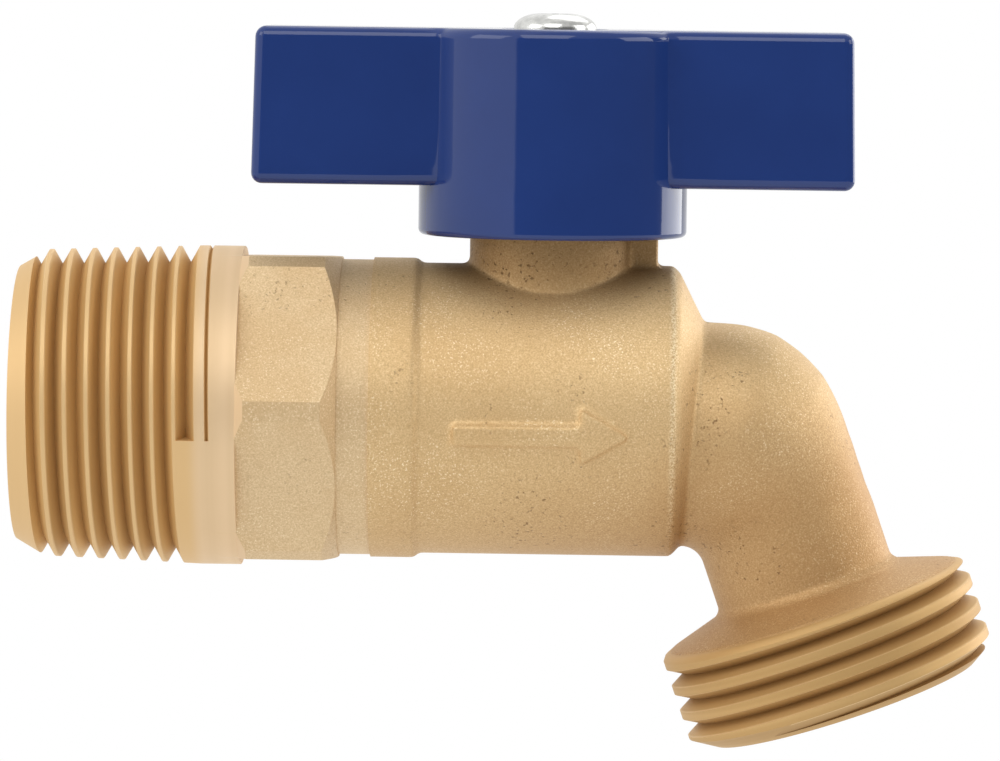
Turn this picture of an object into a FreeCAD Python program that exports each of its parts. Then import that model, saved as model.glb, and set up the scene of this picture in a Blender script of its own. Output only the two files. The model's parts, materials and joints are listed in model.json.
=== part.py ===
import FreeCAD, Part
import math
import os
import Sketcher

# Quarter-turn hose bibb: forged brass ball valve body with a drooping spout, screwed-in hex inlet
# connector, ball between two seats, stem with stop lug, and a die-cast tee handle.
# Units are millimetres. The row's origin is the centre of the inlet end face, on the body axis.
# +X runs along the body towards the spout, +Z points up along the stem, -Y faces the viewer.

doc = FreeCAD.newDocument("HoseBibb")
Vector = FreeCAD.Vector

SIZES = [
    # inlet connector, along the body axis from the inlet face
    ("inlet_thread_length", 15.7),
    ("inlet_thread_tip_radius", 13.0),
    ("inlet_thread_radius", 13.5),
    ("inlet_chamfer_depth", 1.4),
    ("inlet_chamfer_length", 2.4),
    ("inlet_bore_radius", 9.0),
    ("inlet_bore_depth", 21.0),
    ("inlet_funnel_length", 5.0),
    ("collar_length", 3.3),
    ("hex_length", 8.3),
    ("hex_across_flats", 25.4),
    ("hex_corner_radius", 14.3),
    ("hex_turn", 2.0),
    ("neck_length", 2.7),
    ("neck_radius", 12.5),
    ("spigot_radius", 10.95),
    # valve body, along the body axis from the stem axis
    ("seam_to_stem", 15.0),
    ("body_collar_length", 3.8),
    ("body_collar_radius", 12.7),
    ("barrel_radius", 12.3),
    ("barrel_length", 10.9),
    ("end_cone_length", 1.9),
    ("end_cone_radius", 7.9),
    ("barrel_edge_bevel", 0.6),
    ("chamber_radius", 10.0),
    ("port_radius", 5.5),
    # ball, seats and the seal between body and connector
    ("ball_radius", 9.5),
    ("seat_face_offset", 5.6),
    ("seat_thickness", 3.1),
    ("ball_clearance", 0.1),
    ("fit_clearance", 0.05),
    ("seal_groove_offset", 2.6),
    ("seal_groove_width", 1.8),
    ("seal_groove_depth", 1.1),
    # stem, measured up from the body axis
    ("boss_radius", 7.1),
    ("boss_top", 22.0),
    ("boss_fillet", 0.9),
    ("lug_reach", 9.15),
    ("lug_width", 4.4),
    ("lug_top", 18.4),
    ("stem_radius", 4.5),
    ("stem_running_clearance", 0.05),
    ("stem_collar_radius", 5.6),
    ("stem_collar_bottom", 9.7),
    ("stem_pocket_top", 12.4),
    ("washer_thickness", 0.8),
    ("washer_gap", 0.1),
    ("tang_thickness", 4.0),
    ("tang_length", 7.8),
    ("tang_clearance", 0.1),
    ("tang_bottom", 7.1),
    ("ring_height", 15.2),
    ("ring_spacing", 3.2),
    ("ring_width", 1.7),
    ("ring_groove_depth", 1.0),
    ("drive_across_flats", 6.3),
    ("drive_bottom", 22.3),
    ("drive_height", 6.8),
    # spout, from the elbow pivot below the barrel's end
    ("spout_tilt", 19.2),
    ("elbow_pivot_offset", 11.2),
    ("elbow_pivot_drop", 13.5),
    ("elbow_inner_radius", 2.1),
    ("elbow_root_radius", 9.5),
    ("spout_neck_radius", 7.65),
    ("spout_neck_length", 4.5),
    ("spout_bore_radius", 5.8),
    ("flare_fillet", 1.0),
    ("flare_rise", 1.9),
    ("rim_edge_rise", 0.6),
    ("rim_edge_inset", 0.7),
    ("hose_thread_radius", 13.49),
    ("hose_thread_length", 6.9),
    ("outlet_chamfer_depth", 1.9),
    ("outlet_chamfer_length", 1.2),
    ("outlet_bore_radius", 9.0),
    ("outlet_bore_depth", 9.0),
    # handle, measured up from the body axis
    ("handle_top", 32.2),
    ("hub_bottom", 14.75),
    ("hub_radius", 11.35),
    ("arm_bottom", 19.0),
    ("arm_span", 50.6),
    ("arm_thickness", 12.0),
    ("arm_wall", 2.2),
    ("handle_edge_radius", 0.9),
    ("hub_edge_radius", 0.5),
    ("handle_corner_fillet", 1.2),
    ("boss_clearance", 0.4),
    ("lug_side_clearance", 0.35),
    ("lug_end_clearance", 0.12),
    ("lug_top_clearance", 0.6),
    ("socket_clearance", 0.04),
    ("socket_headroom", 0.5),
    # handle screw and its lock washer
    ("screw_radius", 2.0),
    ("screw_length", 9.0),
    ("screw_head_radius", 3.8),
    ("screw_head_height", 1.9),
    ("screw_head_rim_height", 0.65),
    ("screw_shoulder_radius", 3.1),
    ("screw_shoulder_height", 1.45),
    ("screw_crown_radius", 1.7),
    ("screw_recess_width", 0.95),
    ("screw_recess_length", 4.3),
    ("screw_recess_depth", 1.1),
    ("lock_washer_radius", 3.9),
    ("lock_washer_thickness", 0.6),
    ("recess_radius", 4.3),
    ("recess_depth", 1.2),
]

sheet = doc.addObject("Spreadsheet::Sheet", "Sizes")
for row, (alias, number) in enumerate(SIZES, start=1):
    sheet.set("A%d" % row, alias.replace("_", " "))
    sheet.set("B%d" % row, str(number))
    sheet.setAlias("B%d" % row, alias)
doc.recompute()

# Lengths that several pieces share, as expressions on the sheet's cells.
STEM_X = (
    "Sizes.inlet_thread_length + Sizes.collar_length + Sizes.hex_length"
    " + Sizes.neck_length + Sizes.seam_to_stem"
)
COLLAR_START = "Sizes.inlet_thread_length"
HEX_START = COLLAR_START + " + Sizes.collar_length"
HEX_END = HEX_START + " + Sizes.hex_length"
SEAM = HEX_END + " + Sizes.neck_length"
SEAT_BACK = "Sizes.seat_face_offset + Sizes.seat_thickness"
SPIGOT_LENGTH = "Sizes.seam_to_stem - (" + SEAT_BACK + ")"
COLLAR_TOP = "Sizes.stem_pocket_top - Sizes.washer_thickness - Sizes.washer_gap"
SOCKET_TOP = "Sizes.drive_bottom + Sizes.drive_height + Sizes.socket_headroom"
RECESS_FLOOR = "Sizes.handle_top - Sizes.recess_depth"
NECK_END_X = (
    "Sizes.elbow_pivot_offset"
    " + (Sizes.elbow_inner_radius + Sizes.spout_neck_radius) * cos(Sizes.spout_tilt)"
)
NECK_END_Z = (
    "(Sizes.elbow_inner_radius + Sizes.spout_neck_radius) * sin(Sizes.spout_tilt)"
    " - Sizes.elbow_pivot_drop"
)
FLARE_START = "Sizes.spout_neck_length"
RIM_START = FLARE_START + " + Sizes.flare_rise"
THREAD_START = RIM_START + " + Sizes.rim_edge_rise"
THREAD_END = THREAD_START + " + Sizes.hose_thread_length"
OUTLET_FACE = THREAD_END + " + Sizes.outlet_chamfer_length"


def size(alias):
    """The value of one driving dimension, for choosing edges by their place."""
    return float(sheet.get(alias))


def new_body(label, at_stem=True):
    """A named piece. Those about the stem axis are modelled from the crossing of stem and body axes."""
    body = doc.addObject("PartDesign::Body", label)
    body.Label = label
    if at_stem:
        body.setExpression("Placement.Base.x", STEM_X)
    return body


def new_sketch(body, name, plane, offset=None, turn_axis=None, turn=None):
    """A sketch on one of the body's own origin planes, moved by expressions where asked."""
    sketch = body.newObject("Sketcher::SketchObject", name)
    support = [item for item in body.Origin.OriginFeatures if item.Role == plane][0]
    sketch.AttachmentSupport = [(support, "")]
    sketch.MapMode = "FlatFace"
    if turn_axis is not None:
        sketch.AttachmentOffset = FreeCAD.Placement(Vector(), FreeCAD.Rotation(turn_axis, 1))
        sketch.setExpression("AttachmentOffset.Rotation.Angle", turn)
    for axis, expression in (offset or {}).items():
        sketch.setExpression("AttachmentOffset.Base." + axis, expression)
    return sketch


def pin_point(sketch, curve, place, across, up):
    """Ties one point of a curve to the sketch's origin by two expressions; '0' means on the axis."""
    if across == "0":
        sketch.addConstraint(Sketcher.Constraint("PointOnObject", curve, place, -2))
    else:
        index = sketch.addConstraint(Sketcher.Constraint("DistanceX", -1, 1, curve, place, 1.0))
        sketch.setExpression("Constraints[%d]" % index, across)
    if up == "0":
        sketch.addConstraint(Sketcher.Constraint("PointOnObject", curve, place, -1))
    else:
        index = sketch.addConstraint(Sketcher.Constraint("DistanceY", -1, 1, curve, place, 1.0))
        sketch.setExpression("Constraints[%d]" % index, up)


def outline(sketch, corners):
    """A closed outline of straight lines whose corners are pairs of expressions."""
    count = len(corners)
    turn = 2 * math.pi / count
    start = [Vector(math.cos(turn * k), math.sin(turn * k), 0) for k in range(count)]
    for k in range(count):
        sketch.addGeometry(Part.LineSegment(start[k], start[(k + 1) % count]))
    for k in range(count):
        sketch.addConstraint(Sketcher.Constraint("Coincident", k, 2, (k + 1) % count, 1))
    for k, (across, up) in enumerate(corners):
        pin_point(sketch, k, 1, across, up)
    return sketch


def circle(sketch, radius, across="0", up="0"):
    """A circle given by its radius and centre expressions."""
    curve = sketch.addGeometry(Part.Circle(Vector(0, 0, 0), Vector(0, 0, 1), 1.0))
    index = sketch.addConstraint(Sketcher.Constraint("Radius", curve, 1.0))
    sketch.setExpression("Constraints[%d]" % index, radius)
    pin_point(sketch, curve, 3, across, up)
    return sketch


def rectangle(sketch, left, right, low, high):
    """An upright rectangle between four expressions."""
    return outline(sketch, [(left, low), (right, low), (right, high), (left, high)])


def revolve(body, name, sketch, axis="H_Axis", angle="360", cut=False, reverse=False):
    """Turns a profile about one of its sketch's axes, to add or to cut."""
    kind = "PartDesign::Groove" if cut else "PartDesign::Revolution"
    feature = body.newObject(kind, name)
    feature.Profile = sketch
    feature.ReferenceAxis = (sketch, [axis])
    feature.setExpression("Angle", angle)
    feature.Reversed = reverse
    return feature


def extrude(body, name, sketch, length, cut=False, reverse=False):
    """Pads or pockets a profile by a length, along its sketch's normal or against it."""
    kind = "PartDesign::Pocket" if cut else "PartDesign::Pad"
    feature = body.newObject(kind, name)
    feature.Profile = sketch
    feature.setExpression("Length", length)
    feature.Reversed = reverse
    return feature


def edges_where(feature, chosen):
    """Names of a feature's edges that pass a test on the edge."""
    doc.recompute()
    return ["Edge%d" % k for k, edge in enumerate(feature.Shape.Edges, start=1) if chosen(edge)]


def round_edges(body, name, feature, edges, radius):
    """Rounds the named edges of a feature."""
    fillet = body.newObject("PartDesign::Fillet", name)
    fillet.Base = (feature, edges)
    fillet.setExpression("Radius", radius)
    return fillet


def is_ring(edge, radius):
    """True for an edge that lies on a circle of this radius."""
    return isinstance(edge.Curve, Part.Circle) and abs(edge.Curve.Radius - radius) < 0.01


# Inlet connector: tapered pipe thread envelope, turned collar, forged hexagon, neck, and the
# spigot that screws into the body with its seal groove.
def make_inlet_connector():
    body = new_body("inlet_connector", at_stem=False)
    spigot_end = SEAM + " + " + SPIGOT_LENGTH
    turned = outline(new_sketch(body, "connector_profile", "XZ_Plane"), [
        ("0", "0"),
        ("0", "Sizes.inlet_thread_tip_radius - Sizes.inlet_chamfer_depth"),
        ("Sizes.inlet_chamfer_length", "Sizes.inlet_thread_tip_radius"),
        (COLLAR_START, "Sizes.inlet_thread_radius"),
        (HEX_START, "Sizes.inlet_thread_radius"),
        (HEX_START, "Sizes.neck_radius"),
        (SEAM, "Sizes.neck_radius"),
        (SEAM, "Sizes.spigot_radius"),
        (spigot_end, "Sizes.spigot_radius"),
        (spigot_end, "0"),
    ])
    revolve(body, "connector_turned", turned)
    half_flat = "Sizes.hex_across_flats / 2"
    side = "Sizes.hex_across_flats * tan(30) / 2"
    corner = "Sizes.hex_across_flats * tan(30)"
    hexagon_plane = new_sketch(
        body, "hexagon", "YZ_Plane", {"z": HEX_START}, Vector(0, 0, 1), "-Sizes.hex_turn")
    hexagon = outline(hexagon_plane, [
        (corner, "0"),
        (side, half_flat),
        ("-" + side, half_flat),
        ("-" + corner, "0"),
        ("-" + side, "-" + half_flat),
        (side, "-" + half_flat),
    ])
    extrude(body, "hexagon_forged", hexagon, "Sizes.hex_length")
    # The forging die rounds the corners off at one radius and bevels both ends at 45 degrees.
    beyond = "Sizes.hex_across_flats"
    rear_bevel = "Sizes.hex_corner_radius - Sizes.hex_across_flats / 2"
    front_bevel = "Sizes.hex_corner_radius - Sizes.inlet_thread_radius"
    trim = outline(new_sketch(body, "hexagon_trim", "XZ_Plane"), [
        (HEX_START, "Sizes.inlet_thread_radius"),
        (HEX_START + " + " + front_bevel, "Sizes.hex_corner_radius"),
        (HEX_END + " - (" + rear_bevel + ")", "Sizes.hex_corner_radius"),
        (HEX_END, "Sizes.hex_across_flats / 2"),
        (HEX_END, beyond),
        (HEX_START, beyond),
    ])
    revolve(body, "hexagon_corners", trim, cut=True)
    funnel_end = "Sizes.inlet_bore_depth + Sizes.inlet_funnel_length"
    bore = outline(new_sketch(body, "connector_bore", "XZ_Plane"), [
        ("0", "0"),
        ("0", "Sizes.inlet_bore_radius"),
        ("Sizes.inlet_bore_depth", "Sizes.inlet_bore_radius"),
        (funnel_end, "Sizes.port_radius"),
        (spigot_end, "Sizes.port_radius"),
        (spigot_end, "0"),
    ])
    revolve(body, "connector_bored", bore, cut=True)
    groove_start = SEAM + " + Sizes.seal_groove_offset"
    groove_end = groove_start + " + Sizes.seal_groove_width"
    groove = rectangle(
        new_sketch(body, "seal_groove", "XZ_Plane"),
        groove_start, groove_end,
        "Sizes.spigot_radius - Sizes.seal_groove_depth", beyond,
    )
    revolve(body, "seal_groove_cut", groove, cut=True)
    return body


# Seal ring squeezed between the spigot's groove and the body's counterbore.
def make_body_seal():
    body = new_body("body_seal", at_stem=False)
    start = SEAM + " + Sizes.seal_groove_offset + Sizes.fit_clearance"
    end = SEAM + " + Sizes.seal_groove_offset + Sizes.seal_groove_width - Sizes.fit_clearance"
    section = rectangle(
        new_sketch(body, "seal_section", "XZ_Plane"),
        start, end,
        "Sizes.spigot_radius - Sizes.seal_groove_depth",
        "Sizes.spigot_radius + Sizes.fit_clearance",
    )
    revolve(body, "seal_ring", section)
    return body


ELBOW_SECTIONS = [
    # share of the bend, share of the narrowing from root to neck
    (0.00, 0.00),
    (0.17, -0.11),
    (0.36, -0.07),
    (0.50, 0.12),
    (0.60, 0.43),
    (0.75, 0.80),
    (1.00, 1.00),
]


def elbow_sketch(body, name, share, narrowing):
    """One round section of the elbow, on a plane that fans out from the elbow's pivot."""
    sketch = new_sketch(
        body, name, "YZ_Plane",
        {"y": "-Sizes.elbow_pivot_drop", "z": "Sizes.elbow_pivot_offset"},
        Vector(1, 0, 0), "%s * (90 - Sizes.spout_tilt)" % share,
    )
    radius = "(Sizes.elbow_root_radius - %s * (Sizes.elbow_root_radius - Sizes.spout_neck_radius))" % narrowing
    centre = "Sizes.elbow_inner_radius + " + radius
    return circle(sketch, radius, up=centre)


# Valve body: barrel with collar and coned end, stem boss with its stop lug, elbow spout drawn
# down to a neck, flared rim and the hose thread's envelope, all hollow.
def make_valve_body():
    body = new_body("valve_body")
    spout_frame = {"x": NECK_END_X, "y": NECK_END_Z}
    turn_axis = Vector(0, 0, 1)
    outlet = outline(
        new_sketch(body, "outlet_profile", "XZ_Plane", spout_frame, turn_axis, "Sizes.spout_tilt"), [
            ("0", "0"),
            ("Sizes.spout_neck_radius", "0"),
            ("Sizes.spout_neck_radius", "-(" + FLARE_START + ")"),
            ("Sizes.hose_thread_radius - Sizes.rim_edge_inset", "-(" + RIM_START + ")"),
            ("Sizes.hose_thread_radius", "-(" + THREAD_START + ")"),
            ("Sizes.hose_thread_radius", "-(" + THREAD_END + ")"),
            ("Sizes.hose_thread_radius - Sizes.outlet_chamfer_depth", "-(" + OUTLET_FACE + ")"),
            ("0", "-(" + OUTLET_FACE + ")"),
        ])
    outlet_turned = revolve(body, "outlet_turned", outlet, axis="V_Axis")
    doc.recompute()
    neck_rings = sorted(
        (edge.Curve.Center.z, "Edge%d" % k)
        for k, edge in enumerate(outlet_turned.Shape.Edges, start=1)
        if is_ring(edge, size("spout_neck_radius"))
    )
    round_edges(body, "flare_bell", outlet_turned, [neck_rings[0][1]], "Sizes.flare_fillet")

    collar_end = "-(Sizes.seam_to_stem - Sizes.body_collar_length)"
    barrel = outline(new_sketch(body, "barrel_profile", "XZ_Plane"), [
        ("-Sizes.seam_to_stem", "0"),
        ("-Sizes.seam_to_stem", "Sizes.body_collar_radius"),
        (collar_end, "Sizes.body_collar_radius"),
        (collar_end, "Sizes.barrel_radius"),
        ("Sizes.barrel_length - Sizes.barrel_edge_bevel", "Sizes.barrel_radius"),
        ("Sizes.barrel_length", "Sizes.barrel_radius - Sizes.barrel_edge_bevel"),
        ("Sizes.barrel_length + Sizes.end_cone_length", "Sizes.end_cone_radius"),
        ("Sizes.barrel_length + Sizes.end_cone_length", "0"),
    ])
    revolve(body, "barrel_turned", barrel)

    boss = circle(new_sketch(body, "boss_profile", "XY_Plane"), "Sizes.boss_radius")
    boss_pad = extrude(body, "stem_boss", boss, "Sizes.boss_top")
    root_height = math.sqrt(size("barrel_radius") ** 2 - size("boss_radius") ** 2)
    boss_root = edges_where(
        boss_pad,
        lambda edge: root_height - 0.1 < edge.BoundBox.ZMin
        and edge.BoundBox.ZMax < size("barrel_radius") + 0.1
        and edge.BoundBox.XLength < 2.1 * size("boss_radius")
        and edge.BoundBox.YLength > size("boss_radius") / 2,
    )
    round_edges(body, "boss_root", boss_pad, boss_root, "Sizes.boss_fillet")

    lug = rectangle(
        new_sketch(body, "lug_profile", "XY_Plane"),
        "Sizes.boss_radius / 2", "Sizes.lug_reach", "-Sizes.lug_width / 2", "Sizes.lug_width / 2",
    )
    extrude(body, "stop_lug", lug, "Sizes.lug_top")

    elbow = body.newObject("PartDesign::AdditiveLoft", "elbow")
    outer = [
        elbow_sketch(body, "elbow_section_%d" % k, share, narrowing)
        for k, (share, narrowing) in enumerate(ELBOW_SECTIONS)
    ]
    elbow.Profile = outer[0]
    elbow.Sections = outer[1:]

    shoulder = "-(" + SEAT_BACK + ") + Sizes.ball_clearance"
    chamber = outline(new_sketch(body, "chamber_profile", "XZ_Plane"), [
        ("-Sizes.seam_to_stem", "0"),
        ("-Sizes.seam_to_stem", "Sizes.spigot_radius + Sizes.fit_clearance"),
        (shoulder, "Sizes.spigot_radius + Sizes.fit_clearance"),
        (shoulder, "Sizes.chamber_radius"),
        (SEAT_BACK, "Sizes.chamber_radius"),
        (SEAT_BACK, "0"),
    ])
    revolve(body, "chamber", chamber, cut=True)

    # The waterway is drilled from both ends, so its two bores meet where their axes cross.
    drill_point = "tan(30)"
    port_end = NECK_END_X + " + (" + NECK_END_Z + ") * tan(Sizes.spout_tilt)"
    port = outline(new_sketch(body, "port_profile", "XZ_Plane"), [
        (SEAT_BACK, "0"),
        (SEAT_BACK, "Sizes.port_radius"),
        (port_end, "Sizes.port_radius"),
        (port_end + " + Sizes.port_radius * " + drill_point, "0"),
    ])
    revolve(body, "outlet_port", port, cut=True)

    drill_end = "-(" + NECK_END_Z + ") / cos(Sizes.spout_tilt)"
    counterbore = "-(" + OUTLET_FACE + " - Sizes.outlet_bore_depth)"
    outlet_bore = outline(
        new_sketch(body, "outlet_bore_profile", "XZ_Plane", spout_frame, turn_axis, "Sizes.spout_tilt"), [
            ("0", drill_end + " + Sizes.spout_bore_radius * " + drill_point),
            ("Sizes.spout_bore_radius", drill_end),
            (
                "Sizes.spout_bore_radius",
                counterbore + " + (Sizes.outlet_bore_radius - Sizes.spout_bore_radius) / 2",
            ),
            ("Sizes.outlet_bore_radius", counterbore),
            ("Sizes.outlet_bore_radius", "-(" + OUTLET_FACE + ")"),
            ("0", "-(" + OUTLET_FACE + ")"),
        ])
    revolve(body, "outlet_bore", outlet_bore, axis="V_Axis", cut=True)

    stem_way = outline(new_sketch(body, "stem_way_profile", "XZ_Plane"), [
        ("0", "0"),
        ("Sizes.stem_collar_radius + Sizes.ball_clearance", "0"),
        ("Sizes.stem_collar_radius + Sizes.ball_clearance", "Sizes.stem_pocket_top"),
        ("Sizes.stem_radius + Sizes.stem_running_clearance", "Sizes.stem_pocket_top"),
        ("Sizes.stem_radius + Sizes.stem_running_clearance", "Sizes.boss_top"),
        ("0", "Sizes.boss_top"),
    ])
    revolve(body, "stem_way", stem_way, axis="V_Axis", cut=True)
    return body


# Seats: soft rings that hold the ball from both sides, hollowed to the ball's curve.
def make_seat(label, side):
    outer = doc.addObject("Part::Cylinder", label + "_outer")
    outer.setExpression("Radius", "Sizes.chamber_radius - Sizes.fit_clearance")
    hole = doc.addObject("Part::Cylinder", label + "_hole")
    hole.setExpression("Radius", "Sizes.port_radius")
    for cylinder in (outer, hole):
        cylinder.Placement.Rotation = FreeCAD.Rotation(Vector(0, 1, 0), 90)
        cylinder.setExpression("Height", "Sizes.seat_thickness")
        start = "Sizes.seat_face_offset" if side > 0 else "-(" + SEAT_BACK + ")"
        cylinder.setExpression("Placement.Base.x", start)
    hollow = doc.addObject("Part::Sphere", label + "_hollow")
    hollow.setExpression("Radius", "Sizes.ball_radius + Sizes.ball_clearance")
    ring = doc.addObject("Part::Cut", label + "_ring")
    ring.Base = outer
    ring.Tool = hole
    seat = doc.addObject("Part::Cut", label)
    seat.Label = label
    seat.Base = ring
    seat.Tool = hollow
    seat.setExpression("Placement.Base.x", STEM_X)
    return seat


# Ball: chromed sphere, bored straight through, with a slot on top that the stem's tang turns.
def make_ball():
    sphere = doc.addObject("Part::Sphere", "ball_sphere")
    sphere.setExpression("Radius", "Sizes.ball_radius")
    port = doc.addObject("Part::Cylinder", "ball_port")
    port.setExpression("Radius", "Sizes.port_radius")
    port.setExpression("Height", "Sizes.ball_radius * 2")
    port.Placement.Rotation = FreeCAD.Rotation(Vector(0, 1, 0), 90)
    port.setExpression("Placement.Base.x", "-Sizes.ball_radius")
    slot = doc.addObject("Part::Box", "ball_slot")
    slot.setExpression("Length", "Sizes.tang_thickness + Sizes.tang_clearance * 2")
    slot.setExpression("Width", "Sizes.ball_radius * 2")
    slot.setExpression("Height", "Sizes.ball_radius")
    slot.setExpression("Placement.Base.x", "-Sizes.tang_thickness / 2 - Sizes.tang_clearance")
    slot.setExpression("Placement.Base.y", "-Sizes.ball_radius")
    slot.setExpression("Placement.Base.z", "Sizes.tang_bottom - Sizes.tang_clearance")
    bored = doc.addObject("Part::Cut", "ball_bored")
    bored.Base = sphere
    bored.Tool = port
    ball = doc.addObject("Part::Cut", "ball")
    ball.Label = "ball"
    ball.Base = bored
    ball.Tool = slot
    ball.setExpression("Placement.Base.x", STEM_X)
    return ball


# Stem: put in from inside, so that its collar can't blow out. Tang below, two ring grooves,
# square drive above with a tapped hole for the handle screw.
def make_stem():
    body = new_body("stem")
    groove_floor = "Sizes.stem_radius - Sizes.ring_groove_depth"
    lower = "Sizes.ring_height"
    upper = "Sizes.ring_height + Sizes.ring_spacing"
    half_groove = "(Sizes.ring_width / 2 + Sizes.washer_gap)"
    shaft = outline(new_sketch(body, "stem_profile", "XZ_Plane"), [
        ("0", "Sizes.stem_collar_bottom"),
        ("Sizes.stem_collar_radius", "Sizes.stem_collar_bottom"),
        ("Sizes.stem_collar_radius", COLLAR_TOP),
        ("Sizes.stem_radius", COLLAR_TOP),
        ("Sizes.stem_radius", lower + " - " + half_groove),
        (groove_floor, lower + " - " + half_groove),
        (groove_floor, lower + " + " + half_groove),
        ("Sizes.stem_radius", lower + " + " + half_groove),
        ("Sizes.stem_radius", upper + " - " + half_groove),
        (groove_floor, upper + " - " + half_groove),
        (groove_floor, upper + " + " + half_groove),
        ("Sizes.stem_radius", upper + " + " + half_groove),
        ("Sizes.stem_radius", "Sizes.drive_bottom"),
        ("0", "Sizes.drive_bottom"),
    ])
    revolve(body, "stem_turned", shaft, axis="V_Axis")
    tang = rectangle(
        new_sketch(body, "tang_profile", "XY_Plane", {"z": "Sizes.tang_bottom"}),
        "-Sizes.tang_thickness / 2", "Sizes.tang_thickness / 2",
        "-Sizes.tang_length / 2", "Sizes.tang_length / 2",
    )
    extrude(body, "tang", tang, "Sizes.stem_collar_bottom - Sizes.tang_bottom")
    half_drive = "Sizes.drive_across_flats / 2"
    drive = rectangle(
        new_sketch(body, "drive_profile", "XY_Plane", {"z": "Sizes.drive_bottom"}),
        "-" + half_drive, half_drive, "-" + half_drive, half_drive,
    )
    extrude(body, "square_drive", drive, "Sizes.drive_height")
    tapped = circle(
        new_sketch(body, "tapped_hole_profile", "XY_Plane",
                   {"z": "Sizes.drive_bottom + Sizes.drive_height"}),
        "Sizes.screw_radius + Sizes.fit_clearance",
    )
    extrude(body, "tapped_hole", tapped, "Sizes.screw_length", cut=True)
    return body


# Thrust washer between the stem's collar and the body.
def make_thrust_washer():
    body = new_body("thrust_washer")
    section = rectangle(
        new_sketch(body, "thrust_washer_section", "XZ_Plane"),
        "Sizes.stem_radius + Sizes.fit_clearance", "Sizes.stem_collar_radius + Sizes.fit_clearance",
        "Sizes.stem_pocket_top - Sizes.washer_thickness", "Sizes.stem_pocket_top",
    )
    revolve(body, "thrust_washer_ring", section, axis="V_Axis")
    return body


# Stem seal rings, as squeezed in their grooves.
def make_stem_ring(label, height):
    body = new_body(label)
    half_width = "Sizes.ring_width / 2"
    section = rectangle(
        new_sketch(body, label + "_section", "XZ_Plane"),
        "Sizes.stem_radius - Sizes.ring_groove_depth",
        "Sizes.stem_radius + Sizes.stem_running_clearance / 2",
        height + " - " + half_width, height + " + " + half_width,
    )
    revolve(body, label + "_ring", section, axis="V_Axis")
    return body


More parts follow.
